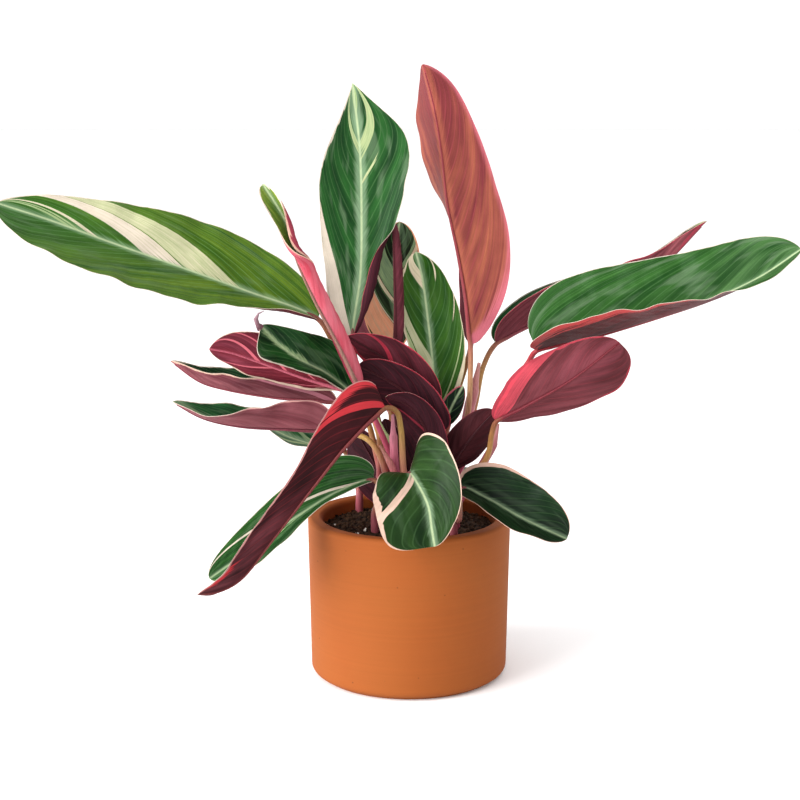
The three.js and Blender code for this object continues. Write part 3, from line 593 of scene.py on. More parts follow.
def blade_grid(leaf, style, cells_along, cells_across, seed):
    """The grid of points of a blade's middle surface, its normals, and for each point: where
    its vein starts and its share across, its mm from midrib and margin, and its rim in mm.
    The length of the midrib comes last."""
    route, base = leaf_route(leaf)
    even = np.linspace(0, 1, cells_along + 1)
    t = (1 - CROWDING) * even + CROWDING * (0.5 - 0.5 * np.cos(np.pi * even))
    places, across, up, length = frames_along(route, base, leaf["face"], t)
    cells = cells_across // 2
    grid = np.zeros((cells_along + 1, cells_across + 1, 3))
    normal = np.zeros_like(grid)
    reach = np.zeros((*grid.shape[:2], 2))
    rim = np.zeros(grid.shape[:2])
    share = np.linspace(0, 1, cells + 1)
    widest = max(np.max(leaf[name]["width"]) for name, _ in SIDES)
    course = style["lean"] * widest / length, style["cling"]
    for name, side in SIDES:
        sideways, rise, angle, width = half_section(leaf[name], t, cells)
        columns = np.arange(cells + 1) * side + cells
        tilt = across[:, None] * (-np.sin(angle) * side)[..., None]
        facing = tilt + up[:, None] * np.cos(angle)[..., None]
        waves = margin_wave(t[:, None], share[None, :], length, seed + side) * style["wave"]
        pleats = pleat(t[:, None], share[None, :], length, course)
        lift = (waves * np.minimum(width / FULL_WAVE_WIDTH, 1) + pleats)[..., None]
        flat = across[:, None] * (sideways * side)[..., None] + up[:, None] * rise[..., None]
        grid[:, columns] = places[:, None] + flat + facing * lift
        normal[:, columns] = facing
        reach[:, columns, 0] = share * width
        reach[:, columns, 1] = (1 - share) * width
        rim[:, columns] = spread(style[name + "_rim"], t)[:, None]
    across_share = np.broadcast_to(np.linspace(-1, 1, cells_across + 1), rim.shape)
    veins = np.stack([vein_start(t[:, None], across_share, course), across_share], -1)
    return grid, normal, veins, reach, rim, length


def shell_mesh(name, grid, normal, veins, reach, rim, thickness):
    """A thin closed blade round the grid, upper faces in slot 0 and lower faces in slot 1."""
    rows, columns = rim.shape
    share = np.abs(np.linspace(-1, 1, columns))[None, :, None]
    offset = normal * thickness / 2 * (1 - MARGIN_THINNING * share**4)
    points = np.concatenate([(grid + offset).reshape(-1, 3), (grid - offset).reshape(-1, 3)])
    lower = rows * columns
    number = np.arange(lower).reshape(rows, columns)
    faces = []
    for a in number[:-1, :-1].ravel().tolist():
        b, c, d = a + 1, a + columns + 1, a + columns
        faces += [(a, b, c, d), (lower + d, lower + c, lower + b, lower + a)]
    flats = len(faces)
    outline = number[0], number[1:, -1], number[-1, -2::-1], number[-2:0:-1, 0]
    loop = np.concatenate(outline).tolist()
    for here, there in zip(loop, loop[1:] + loop[:1]):
        faces.append((there, here, lower + here, lower + there))
    edges = len(faces) - flats
    mesh = bpy.data.meshes.new(name)
    mesh.from_pydata((points * MM).tolist(), [], faces)
    mesh.polygons.foreach_set("material_index", [0, 1] * (flats // 2) + [0] * edges)
    mesh.polygons.foreach_set("use_smooth", [True] * flats + [False] * edges)
    corner = np.empty(len(mesh.loops), dtype=np.int32)
    mesh.loops.foreach_get("vertex_index", corner)
    for layer, values in (("Veins", veins), ("Reach", reach)):
        at_corners = np.tile(values.reshape(-1, 2), (2, 1))[corner].astype(np.float32)
        mesh.uv_layers.new(name=layer).data.foreach_set("uv", at_corners.ravel())
    widths = np.tile(rim.ravel(), 2).astype(np.float32)
    mesh.attributes.new("Rim", "FLOAT", "POINT").data.foreach_set("value", widths)
    return mesh


# ---- Nodes ----

FULL_TURN = 6.28


def linear(code):
    """A linear colour from an sRGB hex value."""
    parts = [int(code[i : i + 2], 16) / 255 for i in (1, 3, 5)]
    bent = [part / 12.92 if part <= 0.04045 else ((part + 0.055) / 1.055) ** 2.4 for part in parts]
    return (*bent, 1.0)


def plug(tree, node, inputs):
    """Sets the inputs of a node: the output of another node is linked, the rest are values."""
    for name, value in inputs.items():
        if isinstance(value, bpy.types.NodeSocket):
            tree.links.new(value, node.inputs[name])
        else:
            node.inputs[name].default_value = value


def add(tree, kind, inputs=None, out=0, **settings):
    """Adds a node and returns its output `out`, or all its outputs where out is None."""
    node = tree.nodes.new(kind)
    for name, value in settings.items():
        setattr(node, name, value)
    plug(tree, node, inputs or {})
    return node.outputs if out is None else node.outputs[out]


def calc(tree, operation, *values):
    """The result of a Math node."""
    return add(tree, "ShaderNodeMath", dict(enumerate(values)), operation=operation)


def remap(tree, value, low, high, to_low=0.0, to_high=1.0, smooth=False):
    """A value carried from one range over to another and held at its ends."""
    return add(tree, "ShaderNodeMapRange", {
        "Value": value, "From Min": low, "From Max": high, "To Min": to_low, "To Max": to_high,
    }, interpolation_type="SMOOTHSTEP" if smooth else "LINEAR")


def blend(tree, share, first, second):
    """Two colours mixed by a share."""
    return add(tree, "ShaderNodeMix", {0: share, 6: first, 7: second}, out=2, data_type="RGBA")


def dim(tree, colour, factor):
    """A colour times a factor."""
    return add(tree, "ShaderNodeVectorMath", {0: colour, "Scale": factor}, operation="SCALE")


def clouds(tree, place, scale, detail=2.0):
    """Soft noise of a scale."""
    return add(tree, "ShaderNodeTexNoise", {"Vector": place, "Scale": scale, "Detail": detail})


def streaks(tree, place, scales, detail, shift=(0.0, 0.0, 0.0)):
    """Noise that is drawn out by a scale for each axis."""
    drawn = add(tree, "ShaderNodeMapping", {"Vector": place, "Location": shift, "Scale": scales})
    return clouds(tree, drawn, 1.0, detail)


def bump(tree, height, strength, distance):
    """A normal for fine relief, as high as the distance in metres."""
    return add(tree, "ShaderNodeBump", {
        "Height": height, "Strength": strength, "Distance": distance,
    })


def colour_ramp(tree, value, stops):
    """The outputs of a colour ramp with the given places and colours."""
    node = tree.nodes.new("ShaderNodeValToRGB")
    elements = node.color_ramp.elements
    while len(elements) < len(stops):
        elements.new(1.0)
    for element, (place, colour) in zip(elements, stops):
        element.position = place
        element.color = colour
    plug(tree, node, {"Fac": value})
    return node.outputs


def object_place(tree):
    """The place of a point, in metres from the middle of the pot's foot."""
    return add(tree, "ShaderNodeTexCoord", out=3)


def new_material(name):
    """A material with its node tree and its shader."""
    material = bpy.data.materials.new(name)
    material.use_nodes = True
    return material, material.node_tree, material.node_tree.nodes["Principled BSDF"]


def new_tree(name, **sockets):
    """A Geometry Nodes tree with named inputs, and the outputs that give them."""
    tree = bpy.data.node_groups.new(name, "GeometryNodeTree")
    tree.interface.new_socket("Geometry", in_out="INPUT", socket_type="NodeSocketGeometry")
    for kind, titles in sockets.items():
        for title in titles:
            tree.interface.new_socket(title, in_out="INPUT", socket_type="NodeSocket" + kind)
    tree.interface.new_socket("Geometry", in_out="OUTPUT", socket_type="NodeSocketGeometry")
    return tree, tree.nodes.new("NodeGroupInput").outputs


def coat_and_end(tree, geometry, material):
    """Ends a Geometry Nodes tree with real geometry in the material."""
    real = add(tree, "GeometryNodeRealizeInstances", {"Geometry": geometry})
    coated = add(tree, "GeometryNodeSetMaterial", {"Geometry": real, "Material": material})
    plug(tree, tree.nodes.new("NodeGroupOutput"), {0: coated})


def grown(source, tree, values):
    """The plain mesh that a Geometry Nodes tree makes from an object, which is then removed."""
    bpy.context.scene.collection.objects.link(source)
    modifier = source.modifiers.new("Growth", "NODES")
    modifier.node_group = tree
    for item in tree.interface.items_tree:
        if item.in_out == "INPUT" and item.name in values:
            modifier[item.identifier] = values[item.name]
    bpy.context.view_layer.update()
    graph = bpy.context.evaluated_depsgraph_get()
    mesh = bpy.data.meshes.new_from_object(source.evaluated_get(graph), depsgraph=graph)
    if not mesh.polygons:
        raise RuntimeError(f"{tree.name} made nothing from {source.name}")
    bpy.data.objects.remove(source)
    return mesh


def stem_tree():
    """A round stem along a curve: thick at its foot, slimmer at the blade's neck and drawn out
    along the rib to the tip."""
    tree, given = new_tree(
        "Stem along its path",
        Float=("Foot radius", "Neck radius", "Tip radius", "Sheath end", "Neck place"),
        Int=("Sides",), Material=("Tissue",),
    )
    neck = given["Neck radius"]
    place = add(tree, "GeometryNodeSplineParameter")
    sheath = remap(tree, place, 0.0, given["Sheath end"], given["Foot radius"], neck, smooth=True)
    beyond = calc(tree, "SQRT", remap(tree, place, given["Neck place"], 1.0))
    taper = remap(tree, beyond, 0.0, 1.0, neck, given["Tip radius"])
    radius = calc(tree, "SUBTRACT", calc(tree, "ADD", sheath, taper), neck)
    marked = add(tree, "GeometryNodeStoreNamedAttribute", {
        "Geometry": given["Geometry"], "Name": "along", "Value": place,
    }, data_type="FLOAT", domain="POINT")
    ring = add(tree, "GeometryNodeCurvePrimitiveCircle", {
        "Resolution": given["Sides"], "Radius": 1.0,
    })
    tube = add(tree, "GeometryNodeCurveToMesh", {
        "Curve": marked, "Profile Curve": ring, "Scale": radius, "Fill Caps": True,
    })
    smooth = add(tree, "GeometryNodeSetShadeSmooth", {"Geometry": tube})
    coat_and_end(tree, smooth, given["Tissue"])
    return tree


def crumb_tree():
    """Rough crumbs strewn over a surface."""
    tree, given = new_tree(
        "Crumbs on the soil",
        Float=("Density", "Smallest", "Largest"), Int=("Seed",), Material=("Substance",),
    )
    seed = given["Seed"]
    points = add(tree, "GeometryNodeDistributePointsOnFaces", {
        "Mesh": given["Geometry"], "Density": given["Density"], "Seed": seed,
    }, distribute_method="RANDOM")
    ball = add(tree, "GeometryNodeMeshIcoSphere", {"Radius": 1.0, "Subdivisions": 2})
    place = add(tree, "GeometryNodeInputPosition")
    lumps = add(tree, "ShaderNodeTexNoise", {"Vector": place, "Scale": 1.3}, out=1)
    push = add(tree, "ShaderNodeVectorMath", {0: lumps, 1: (0.5, 0.5, 0.5)}, operation="SUBTRACT")
    rough = add(tree, "GeometryNodeSetPosition", {"Geometry": ball, "Offset": push})
    size = add(tree, "FunctionNodeRandomValue", {
        2: given["Smallest"], 3: given["Largest"], "Seed": seed,
    }, out=1, data_type="FLOAT")
    turn = add(tree, "FunctionNodeRandomValue", {
        0: (0.0, 0.0, 0.0), 1: (FULL_TURN, FULL_TURN, FULL_TURN), "Seed": seed,
    }, data_type="FLOAT_VECTOR")
    strewn = add(tree, "GeometryNodeInstanceOnPoints", {
        "Points": points, "Instance": rough, "Rotation": turn, "Scale": size,
    })
    coat_and_end(tree, strewn, given["Substance"])
    return tree


# ---- Materials ----

# Where veins can start, as shares of the blade. Near its base, they start before it
RAMP_START = -0.5
RAMP_SPAN = 1.5
BAND_EDGE = 0.012
NO_BAND = ((0.0, (0.0, 1.0, 0.0, 1.0)), (1.0, (0.0, 1.0, 0.0, 1.0)))
# Streaks along the veins: width in mm measured on the midrib, and how often they change across
STREAKS = {
    "hair": (2.5, 3.0), "fine": (6.0, 2.0), "edge": (12.0, 3.0), "broad": (20.0, 1.2),
    "patch": (34.0, 3.2),
}
# Noise stays mostly between these values
NOISE_SPAN = 0.3, 0.7
# How far frost reaches from the midrib where it is strongest, and how it fades
FROST_REACH = 11.0
FROST_FADE = 6.0
# Distances at which the line on a side vein and that on the midrib start and end to fade
VEIN_LINE = 0.2, 1.1
RIB_LINE = 0.3, 1.2
# Colours of the upper side where only part of the green is missing, darkest first
PALE_GREENS = ("#7F9A77", "#A3BE84", "#C4CE98", "#E6DDBB")
# Colours of the frost, the side veins, the midrib line and the painted sheen on the upper side
FROST_GREEN, VEIN_GREEN, RIB_GREEN, SHEEN_GREEN = "#A9C9A0", "#7FB070", "#CADDAC", "#6F8A68"
# How glossy living tissue and dry clay or peat are
LEAF_IOR = 1.42
BLADE_SPECULAR, STALK_SPECULAR, CLAY_SPECULAR, PEAT_SPECULAR = 0.1, 0.2, 0.25, 0.15


def band_stops(bands):
    """Colour ramp stops for the bands of one side, by where their veins start. Red is where
    a band is, green how pale it is, blue and alpha the shares of the width it runs between."""
    stops = []
    for start, end, paleness, *reach in sorted(bands):
        near, far = reach or (0.0, 1.0)
        low, high = (start - RAMP_START) / RAMP_SPAN, (end - RAMP_START) / RAMP_SPAN
        soft = min(BAND_EDGE, (high - low) / 2) / 2
        inside, outside = (1.0, paleness, near, far), (0.0, paleness, near, far)
        stops += [(low - soft, outside), (low + soft, inside)]
        stops += [(high - soft, inside), (high + soft, outside)]
    return [(min(max(place, 0.0), 1.0), colour) for place, colour in stops] or NO_BAND


def band_nodes(tree, style, start, across, streak):
    """Where the green is missing along the veins, and how pale the leaf is there. Both are
    frayed by the streaks."""
    on_ramp = remap(tree, start, RAMP_START, RAMP_START + RAMP_SPAN)
    left, right = [
        colour_ramp(tree, on_ramp, band_stops(style[side + "_bands"])) for side, _ in SIDES
    ]
    on_right = calc(tree, "GREATER_THAN", across, 0.0)
    both = blend(tree, on_right, left[0], right[0])
    covered, paleness, near = add(tree, "ShaderNodeSeparateColor", {0: both}, out=None).values()
    far = add(tree, "ShaderNodeMix", {0: on_right, 2: left[1], 3: right[1]}, data_type="FLOAT")
    ragged_share = calc(tree, "MULTIPLY_ADD", streak["hair"], 0.5, calc(tree, "ABSOLUTE", across))
    past_near = remap(tree, calc(tree, "SUBTRACT", ragged_share, near), 0.2, 0.3)
    before_far = remap(tree, calc(tree, "SUBTRACT", ragged_share, far), 0.26, 0.34, 1.0, 0.0)
    ragged = calc(tree, "MULTIPLY_ADD", streak["fine"], 0.9, covered)
    in_band = calc(tree, "MULTIPLY", remap(tree, ragged, 0.84, 1.0), past_near)
    in_band = calc(tree, "MULTIPLY", in_band, before_far)
    streaky = calc(tree, "MULTIPLY_ADD", streak["hair"], 0.5, paleness)
    return in_band, calc(tree, "SUBTRACT", streaky, 0.25)


def blade_material(name, style, upper, length, seed):
    """Living leaf tissue. The upper side has a soft wax gloss: green, darker and lighter
    along the veins, frosted beside the midrib, cream where the green is missing, and with
    patches of painted sheen. The underside is satin and maroon, with darker patches, and
    turns rose where the upper side is cream."""
    material, tree, shader = new_material(name)
    veins = add(tree, "ShaderNodeUVMap", uv_map="Veins")
    start, across, _ = add(tree, "ShaderNodeSeparateXYZ", {0: veins}, out=None).values()
    reach = add(tree, "ShaderNodeUVMap", uv_map="Reach")
    from_rib, from_margin, _ = add(tree, "ShaderNodeSeparateXYZ", {0: reach}, out=None).values()
    shift = (seed * 13.7, seed * 3.1, seed)
    streak = {
        title: streaks(tree, veins, (length / width, changes, 1.0), 2.0, shift)
        for title, (width, changes) in STREAKS.items()
    }
    blotch = clouds(tree, object_place(tree), 45.0, 4.0)
    in_band, paleness = band_nodes(tree, style, start, across, streak)

    # The pale rim, wider in some stretches than in others
    rim = add(tree, "ShaderNodeAttribute", out=2, attribute_name="Rim")
    rim = calc(tree, "MULTIPLY", rim, remap(tree, streak["edge"], *NOISE_SPAN, 0.5, 1.5))
    beyond = calc(tree, "SUBTRACT", rim, from_margin)
    in_rim = remap(tree, beyond, -style["soft_rim"], style["soft_rim"], smooth=True)

    # Frost beside the midrib with feathered edges, the side veins, and the midrib itself
    icy = style["frost"]
    feather = calc(tree, "MULTIPLY_ADD", streak["hair"], 0.8, streak["fine"])
    edge = calc(tree, "MULTIPLY_ADD", feather, -FROST_REACH * icy, from_rib)
    frost = remap(tree, edge, -FROST_FADE * icy, 1.5, 0.15 + 0.8 * icy, 0.0, smooth=True)
    spaced = calc(tree, "MULTIPLY_ADD", start, length, streak["broad"])
    spaced = calc(tree, "PINGPONG", spaced, PLEAT_WIDTH / 2)
    side_vein = remap(tree, spaced, *VEIN_LINE, style["ribs"] * (1.0 if upper else 0.4), 0.0)
    in_rib = remap(tree, from_rib, *RIB_LINE, style["midrib"], 0.0)

    if upper:
        dark, light = style["green"]
        tones = (*PALE_GREENS, style["cream"])
        frost_tone, vein_tone, rib_tone, patch_and_sheen_tone = FROST_GREEN, VEIN_GREEN, RIB_GREEN, SHEEN_GREEN
        patch_and_sheen, rim_tone, tip_tone = style["patch_and_sheen"], style["cream"], style.get("upper_tip", light)
        gloss = 0.30, 0.46
    else:
        dark, light = style["under"]
        tones = (light, style["blush"], style["blush"])
        frost_tone, vein_tone, rib_tone, patch_and_sheen_tone = light, style["blush"], style["stem"][2], dark
        patch_and_sheen, rim_tone = 0.3, style.get("edge", style["blush"])
        tip_tone = style.get("under_tip", light)
        gloss = 0.45, 0.62
    stops = [(number / (len(tones) - 1), linear(tone)) for number, tone in enumerate(tones)]
    pale = colour_ramp(tree, paleness, stops)[0]
    near_tip = remap(tree, start, 0.2, 0.85, smooth=True)
    colour = linear(dark)
    for share, tone in (
        (remap(tree, streak["broad"], 0.32, 0.68), blend(tree, near_tip, linear(light), linear(tip_tone))),
        # Patches of painted sheen on the upper side; underneath, darker patches of the leaf's own colour
        (remap(tree, streak["patch"], 0.5, 0.66, 0.0, patch_and_sheen, smooth=True), linear(patch_and_sheen_tone)),
        (side_vein, linear(vein_tone)), (frost, linear(frost_tone)), (in_band, pale),
        (in_rim, linear(rim_tone)), (in_rib, linear(rib_tone)),
    ):
        colour = blend(tree, share, colour, tone)
    bright = style["brightness"]
    uneven = remap(tree, blotch, *NOISE_SPAN, 0.5 * bright, 0.62 * bright)
    shade = calc(tree, "MULTIPLY", uneven, remap(tree, streak["hair"], *NOISE_SPAN, 0.9, 1.1))
    relief = calc(tree, "MULTIPLY_ADD", streak["fine"], 0.6, streak["hair"])
    plug(tree, shader, {
        "Base Color": dim(tree, colour, shade), "IOR": LEAF_IOR,
        "Roughness": remap(tree, blotch, *NOISE_SPAN, *gloss),
        "Specular IOR Level": BLADE_SPECULAR, "Normal": bump(tree, relief, 0.35, 0.0006),
    })
    return material


def petiole_material():
    """Leaf stalks and sheaths: smooth, fleshy and a little translucent to the eye, streaked
    lengthwise. The colour along the stalk is painted on the piece as the attribute Tissue."""
    material, tree, shader = new_material("petiole_flesh")
    painted = add(tree, "ShaderNodeAttribute", attribute_name="Tissue")
    # Streaks a little under 1 mm wide and some 30 mm long
    streak = streaks(tree, object_place(tree), (1200.0, 1200.0, 35.0), 3.0)
    plug(tree, shader, {
        "Base Color": dim(tree, painted, remap(tree, streak, *NOISE_SPAN, 0.45, 0.7)),
        "Roughness": 0.42, "IOR": LEAF_IOR, "Specular IOR Level": STALK_SPECULAR,
        "Normal": bump(tree, streak, 0.3, 0.0004),
    })
    return material


def terracotta_material(colour):
    """Unglazed fired clay, thrown and smoothed: matte, warm orange, with faint turning lines,
    a soft unevenness from the kiln and a few pinholes painted as dark dots of shade."""
    material, tree, shader = new_material("terracotta_unglazed")
    place = object_place(tree)
    cloud = clouds(tree, place, 16.0, 5.0)
    grain = clouds(tree, place, 900.0, 3.0)
    # Turning lines: about 1.5 mm apart up the wall and long round it
    turning = streaks(tree, place, (8.0, 8.0, 650.0), 3.0)
    pinhole_shade = add(tree, "ShaderNodeTexVoronoi", {"Vector": place, "Scale": 70.0})
    uneven = remap(tree, cloud, *NOISE_SPAN, 0.5, 0.57)
    shade = calc(tree, "MULTIPLY", uneven, remap(tree, turning, *NOISE_SPAN, 0.975, 1.025))
    # Pinholes: dark dots, painted shade inside holes that the surface does not have
    shade = calc(tree, "MULTIPLY", shade, remap(tree, pinhole_shade, 0.03, 0.05, 0.45, 1.0))
    tinted = blend(tree, cloud, (*colour, 1.0), linear("#A85218"))
    relief = calc(tree, "MULTIPLY_ADD", grain, 0.4, turning)
    plug(tree, shader, {
        "Base Color": dim(tree, tinted, shade), "Roughness": 0.8,
        "Specular IOR Level": CLAY_SPECULAR, "Normal": bump(tree, relief, 0.3, 0.0003),
    })
    return material


def soil_material(name, dark, light, roughness):
    """Potting mix: crumbly and matte, dark with peat and bark, or the white of puffed perlite."""
    material, tree, shader = new_material(name)
    lumps = clouds(tree, object_place(tree), 260.0, 5.0)
    plug(tree, shader, {
        "Base Color": blend(tree, remap(tree, lumps, 0.35, 0.68), linear(dark), linear(light)),
        "Roughness": roughness, "Specular IOR Level": PEAT_SPECULAR,
        "Normal": bump(tree, lumps, 0.8, 0.001),
    })
    return material


def paper_material():
    """Seamless studio background paper: plain white and matte."""
    material, tree, shader = new_material("background_paper")
    fibre = clouds(tree, object_place(tree), 400.0)
    plug(tree, shader, {"Base Color": remap(tree, fibre, 0.0, 1.0, 0.93, 0.95), "Roughness": 0.9})
    return material


# ---- Pieces ----


def new_piece(name, mesh, materials):
    """An object for a finished mesh, at the origin, in the scene."""
    piece = bpy.data.objects.new(name, mesh)
    for material in materials:
        if material.name not in mesh.materials:
            mesh.materials.append(material)
    bpy.context.scene.collection.objects.link(piece)
    return piece


def joined(first, second):
    """Joins the second object into the first."""
    with bpy.context.temp_override(active_object=first, selected_editable_objects=[first, second]):
        bpy.ops.object.join()
    return first


def stem_piece(name, points, tree, tissue, radii, sheath_end, neck_place, sides, colours):
    """A stem through points given in mm, with the radii of foot, neck and tip in mm. Its
    colours are pairs of a place, as a share of its length, and a hex value."""
    curve = bpy.data.curves.new(name, "CURVE")
    curve.dimensions = "3D"
    spline = curve.splines.new("POLY")
    spline.points.add(len(points) - 1)
    for target, point in zip(spline.points, points):
        target.co = (*(np.asarray(point) * MM), 1.0)
    foot, neck, tip = [radius * MM for radius in radii]
    mesh = grown(bpy.data.objects.new(name, curve), tree, {
        "Foot radius": foot, "Neck radius": neck, "Tip radius": tip,
        "Sheath end": sheath_end, "Neck place": neck_place, "Sides": sides, "Tissue": tissue,
    })
    along = np.empty(len(mesh.vertices), dtype=np.float32)
    mesh.attributes["along"].data.foreach_get("value", along)
    places, codes = zip(*colours)
    stops = np.array([linear(code) for code in codes])
    mixed = np.stack([np.interp(along, places, stops[:, i]) for i in range(4)], axis=1)
    layer = mesh.attributes.new("Tissue", "FLOAT_COLOR", "POINT")
    layer.data.foreach_set("color", mixed.astype(np.float32).ravel())
    mesh.attributes.remove(mesh.attributes["along"])
    return new_piece(name, mesh, [tissue])


# The rib lies under the blade by RIB_DEPTH of its radius, in full from RIB_START on, and
# runs on to RIB_END, both shares of the midrib
RIB_DEPTH = 0.97
RIB_START = 0.05
RIB_END = 0.97
STEM_SIDES = 12
# A thin curled tip: radii of its foot, neck and end, its sides and the colour of its end
DRIP_RADII = 2.2, 1.7, 0.3
DRIP_SIDES = 10
DRIP_END = "#9A8088"


def leaf_stem(name, leaf, style, sizes, tree, tissue):
    """The stem of a leaf from the soil to the neck, and on as the rib under the blade."""
    route, base = leaf_route(leaf)
    stalk, _, stalk_length = walk(route, 0, base, np.linspace(0, 1, 40)[:-1])
    shares = np.linspace(0, RIB_END, 60)
    places, _, up, _ = frames_along(route, base, leaf["face"], shares)
    slim = sizes.neck_radius + (sizes.tip_radius - sizes.neck_radius) * shares**0.5
    sink = np.interp(shares, [0, RIB_START], [0, RIB_DEPTH])
    rib = places - up * (slim * sink)[:, None]
    points = np.concatenate([[(*leaf["foot"], SOIL_LEVEL - STEM_DEPTH)], stalk, rib])
    total = float(np.sum(np.linalg.norm(np.diff(points, axis=0), axis=1)))
    neck = (STEM_DEPTH + stalk_length) / total
    # The foot's colour goes a third of the way up, and the rib's starts just past the neck
    foot, middle, end = style["stem"]
    colours = [(0, foot), (neck * 0.35, foot), (neck * 0.8, middle), (neck + 0.04, end), (1, end)]
    radii = sizes.foot_radius, sizes.neck_radius, sizes.tip_radius
    return stem_piece(name, points, tree, tissue, radii, neck * 0.9, neck, STEM_SIDES, colours)


def drip_tip(name, leaf, style, tree, tissue):
    """The thin curled tip that a blade ends in."""
    points = [leaf["blade"][-1], *style["drip"]]
    dark, light = style["under"]
    colours = [(0, dark), (0.5, light), (1, DRIP_END)]
    return stem_piece(name, points, tree, tissue, DRIP_RADII, 0.3, 0.55, DRIP_SIDES, colours)


def ring(radius, height, sides):
    """Points of a level circle."""
    angles = [2 * math.pi * k / sides for k in range(sides)]
    return [(radius * math.cos(angle), radius * math.sin(angle), height) for angle in angles]


def ringed_mesh(name, top, rings, bottom=None):
    """A smooth body round an upper middle point, through rings of points, and closed round a
    lower middle point where one is given."""
    sides = len(rings[0])
    pairs = [(k, (k + 1) % sides) for k in range(sides)]
    starts = [1 + sides * number for number in range(len(rings))]
    faces = [(0, 1 + here, 1 + there) for here, there in pairs]
    for high, low in zip(starts, starts[1:]):
        faces += [(high + here, low + here, low + there, high + there) for here, there in pairs]
    points = [top]
    for points_round in rings:
        points += points_round
    if bottom:
        last = len(points)
        points.append(bottom)
        faces += [(last, starts[-1] + there, starts[-1] + here) for here, there in pairs]
    mesh = bpy.data.meshes.new(name)
    mesh.from_pydata((np.array(points) * MM).tolist(), [], faces)
    mesh.polygons.foreach_set("use_smooth", [True] * len(faces))
    return mesh


def lathe_mesh(name, profile, sides):
    """A closed body of revolution. The profile runs up from the axis and back to the axis."""
    rings = [ring(radius, height, sides) for radius, height in reversed(profile[1:-1])]
    return ringed_mesh(name, (0, 0, profile[-1][1]), rings, (0, 0, profile[0][1]))


def arc(x, y, radius, start, end, cells=8):
    """Points of an arc in the profile, angles in degrees."""
    angles = np.radians(np.linspace(start, end, cells + 1))
    return [(x + radius * math.cos(angle), y + radius * math.sin(angle)) for angle in angles]


# ---- Settings ----


def measure(name, description, default, least=0.0, **more):
    """A setting that is a measure."""
    more.update(name=name, description=description, default=default, min=least)
    return bpy.props.FloatProperty(**more)


def count(name, description, default, least=0):
    """A setting that is a whole number."""
    return bpy.props.IntProperty(name=name, description=description, default=default, min=least)


class PlantLeafSettings(bpy.types.PropertyGroup):
    """Sizes of the blades and stems."""

    thickness: measure("Blade thickness", "Thickness of a blade in mm", 0.5, 0.1)
    cells_along: count("Cells along", "Cells from base to tip of a blade", 110, 20)
    cells_across: count("Cells across", "Cells from margin to margin, an even number", 30, 8)
    foot_radius: measure("Foot radius", "Radius of a stem at the soil in mm", 3.2, 0.5)
    neck_radius: measure("Neck radius", "Radius of a stem at the blade in mm", 2.0, 0.3)
    tip_radius: measure("Rib tip radius", "Radius of the rib at the tip in mm", 0.35, 0.1)


class PlantPotSettings(bpy.types.PropertyGroup):
    """Sizes and colours of the pot and what fills it."""

    height: measure("Height", "Height of the pot in mm", POT_HIGH.z, 20)
    rim_radius: measure("Rim radius", "Outer radius at the rim in mm", POT_HIGH.x, 10)
    foot_radius: measure("Foot radius", "Outer radius at the foot in mm", 73.0, 10)
    wall: measure("Wall", "Thickness of the wall in mm", 11.0, 1)
    colour: bpy.props.FloatVectorProperty(
        name="Clay colour", description="Colour of the fired clay", subtype="COLOR", size=3,
        default=linear("#C46C28")[:3], min=0, max=1,
    )
    crumb_density: measure("Crumbs", "Crumbs of soil per square metre", 110000.0)
    perlite_density: measure("Perlite", "Grains of perlite per square metre", 2600.0)
    seed: count("Seed", "Seed of the strewn crumbs", 7)


class PlantStageSettings(bpy.types.PropertyGroup):
    """Light and camera."""

    key: measure("Key light", "Power of the large light from the left", 165.0, unit="POWER")
    fill: measure("Fill light", "Power of the light from the right", 4.0, unit="POWER")
    sky: measure("Room light", "Strength of the even light all round", 1.2)
    lens: measure("Lens", "Focal length of the camera in mm", 71.4, 10)


# ---- Operators ----

# The radii of a shoot's foot and tip, as shares of its own
SHOOT_FOOT = 1.15
SHOOT_TIP = 0.3
SHOOT_SIDES = 14

# The pot: its ring to stand on, its rounded edges and the level of its floor
STAND_INSET = 5.5
STAND_HEIGHT = 1.5
STAND_BEVEL = 0.4
FOOT_ROUND = 5.0
LIP_ROUND = 3.0
INNER_ROUND = 3.5
WALL_START = 6.5
WALL_END_BELOW_RIM = 7.5
POT_FLOOR = 12.0
POT_SIDES = 160

# The soil: its gap to the wall, how it falls off towards the wall, and its lumps
SOIL_GAP = 0.6
SOIL_FLOOR = 14.0
SOIL_TAPER = 0.95
SOIL_FALL = 2.5
SOIL_RINGS = 44
SOIL_SIDES = 150
LUMP_HEIGHT = 0.9
LUMP_WIDTH = 9.0
LUMP_LAYER = 3.0

# The stage in metres, and the camera's tilt below level in degrees
FLOOR_RADIUS, FLOOR_DEPTH, FLOOR_SIDES = 40.0, 0.02, 64
KEY_PLACE, KEY_SIZE = (-2.2, -1.25, 0.9), 2.3
FILL_PLACE, FILL_SIZE = (1.9, -1.2, 1.0), 1.6
BACK_PLACE, BACK_SIZE = (0.3, 1.8, 1.8), 1.4
LIGHT_AIM = (0, 0, 0.25)
CAMERA_PLACE = (-0.0067, -1.144, 0.413)
CAMERA_DIP = 10.3


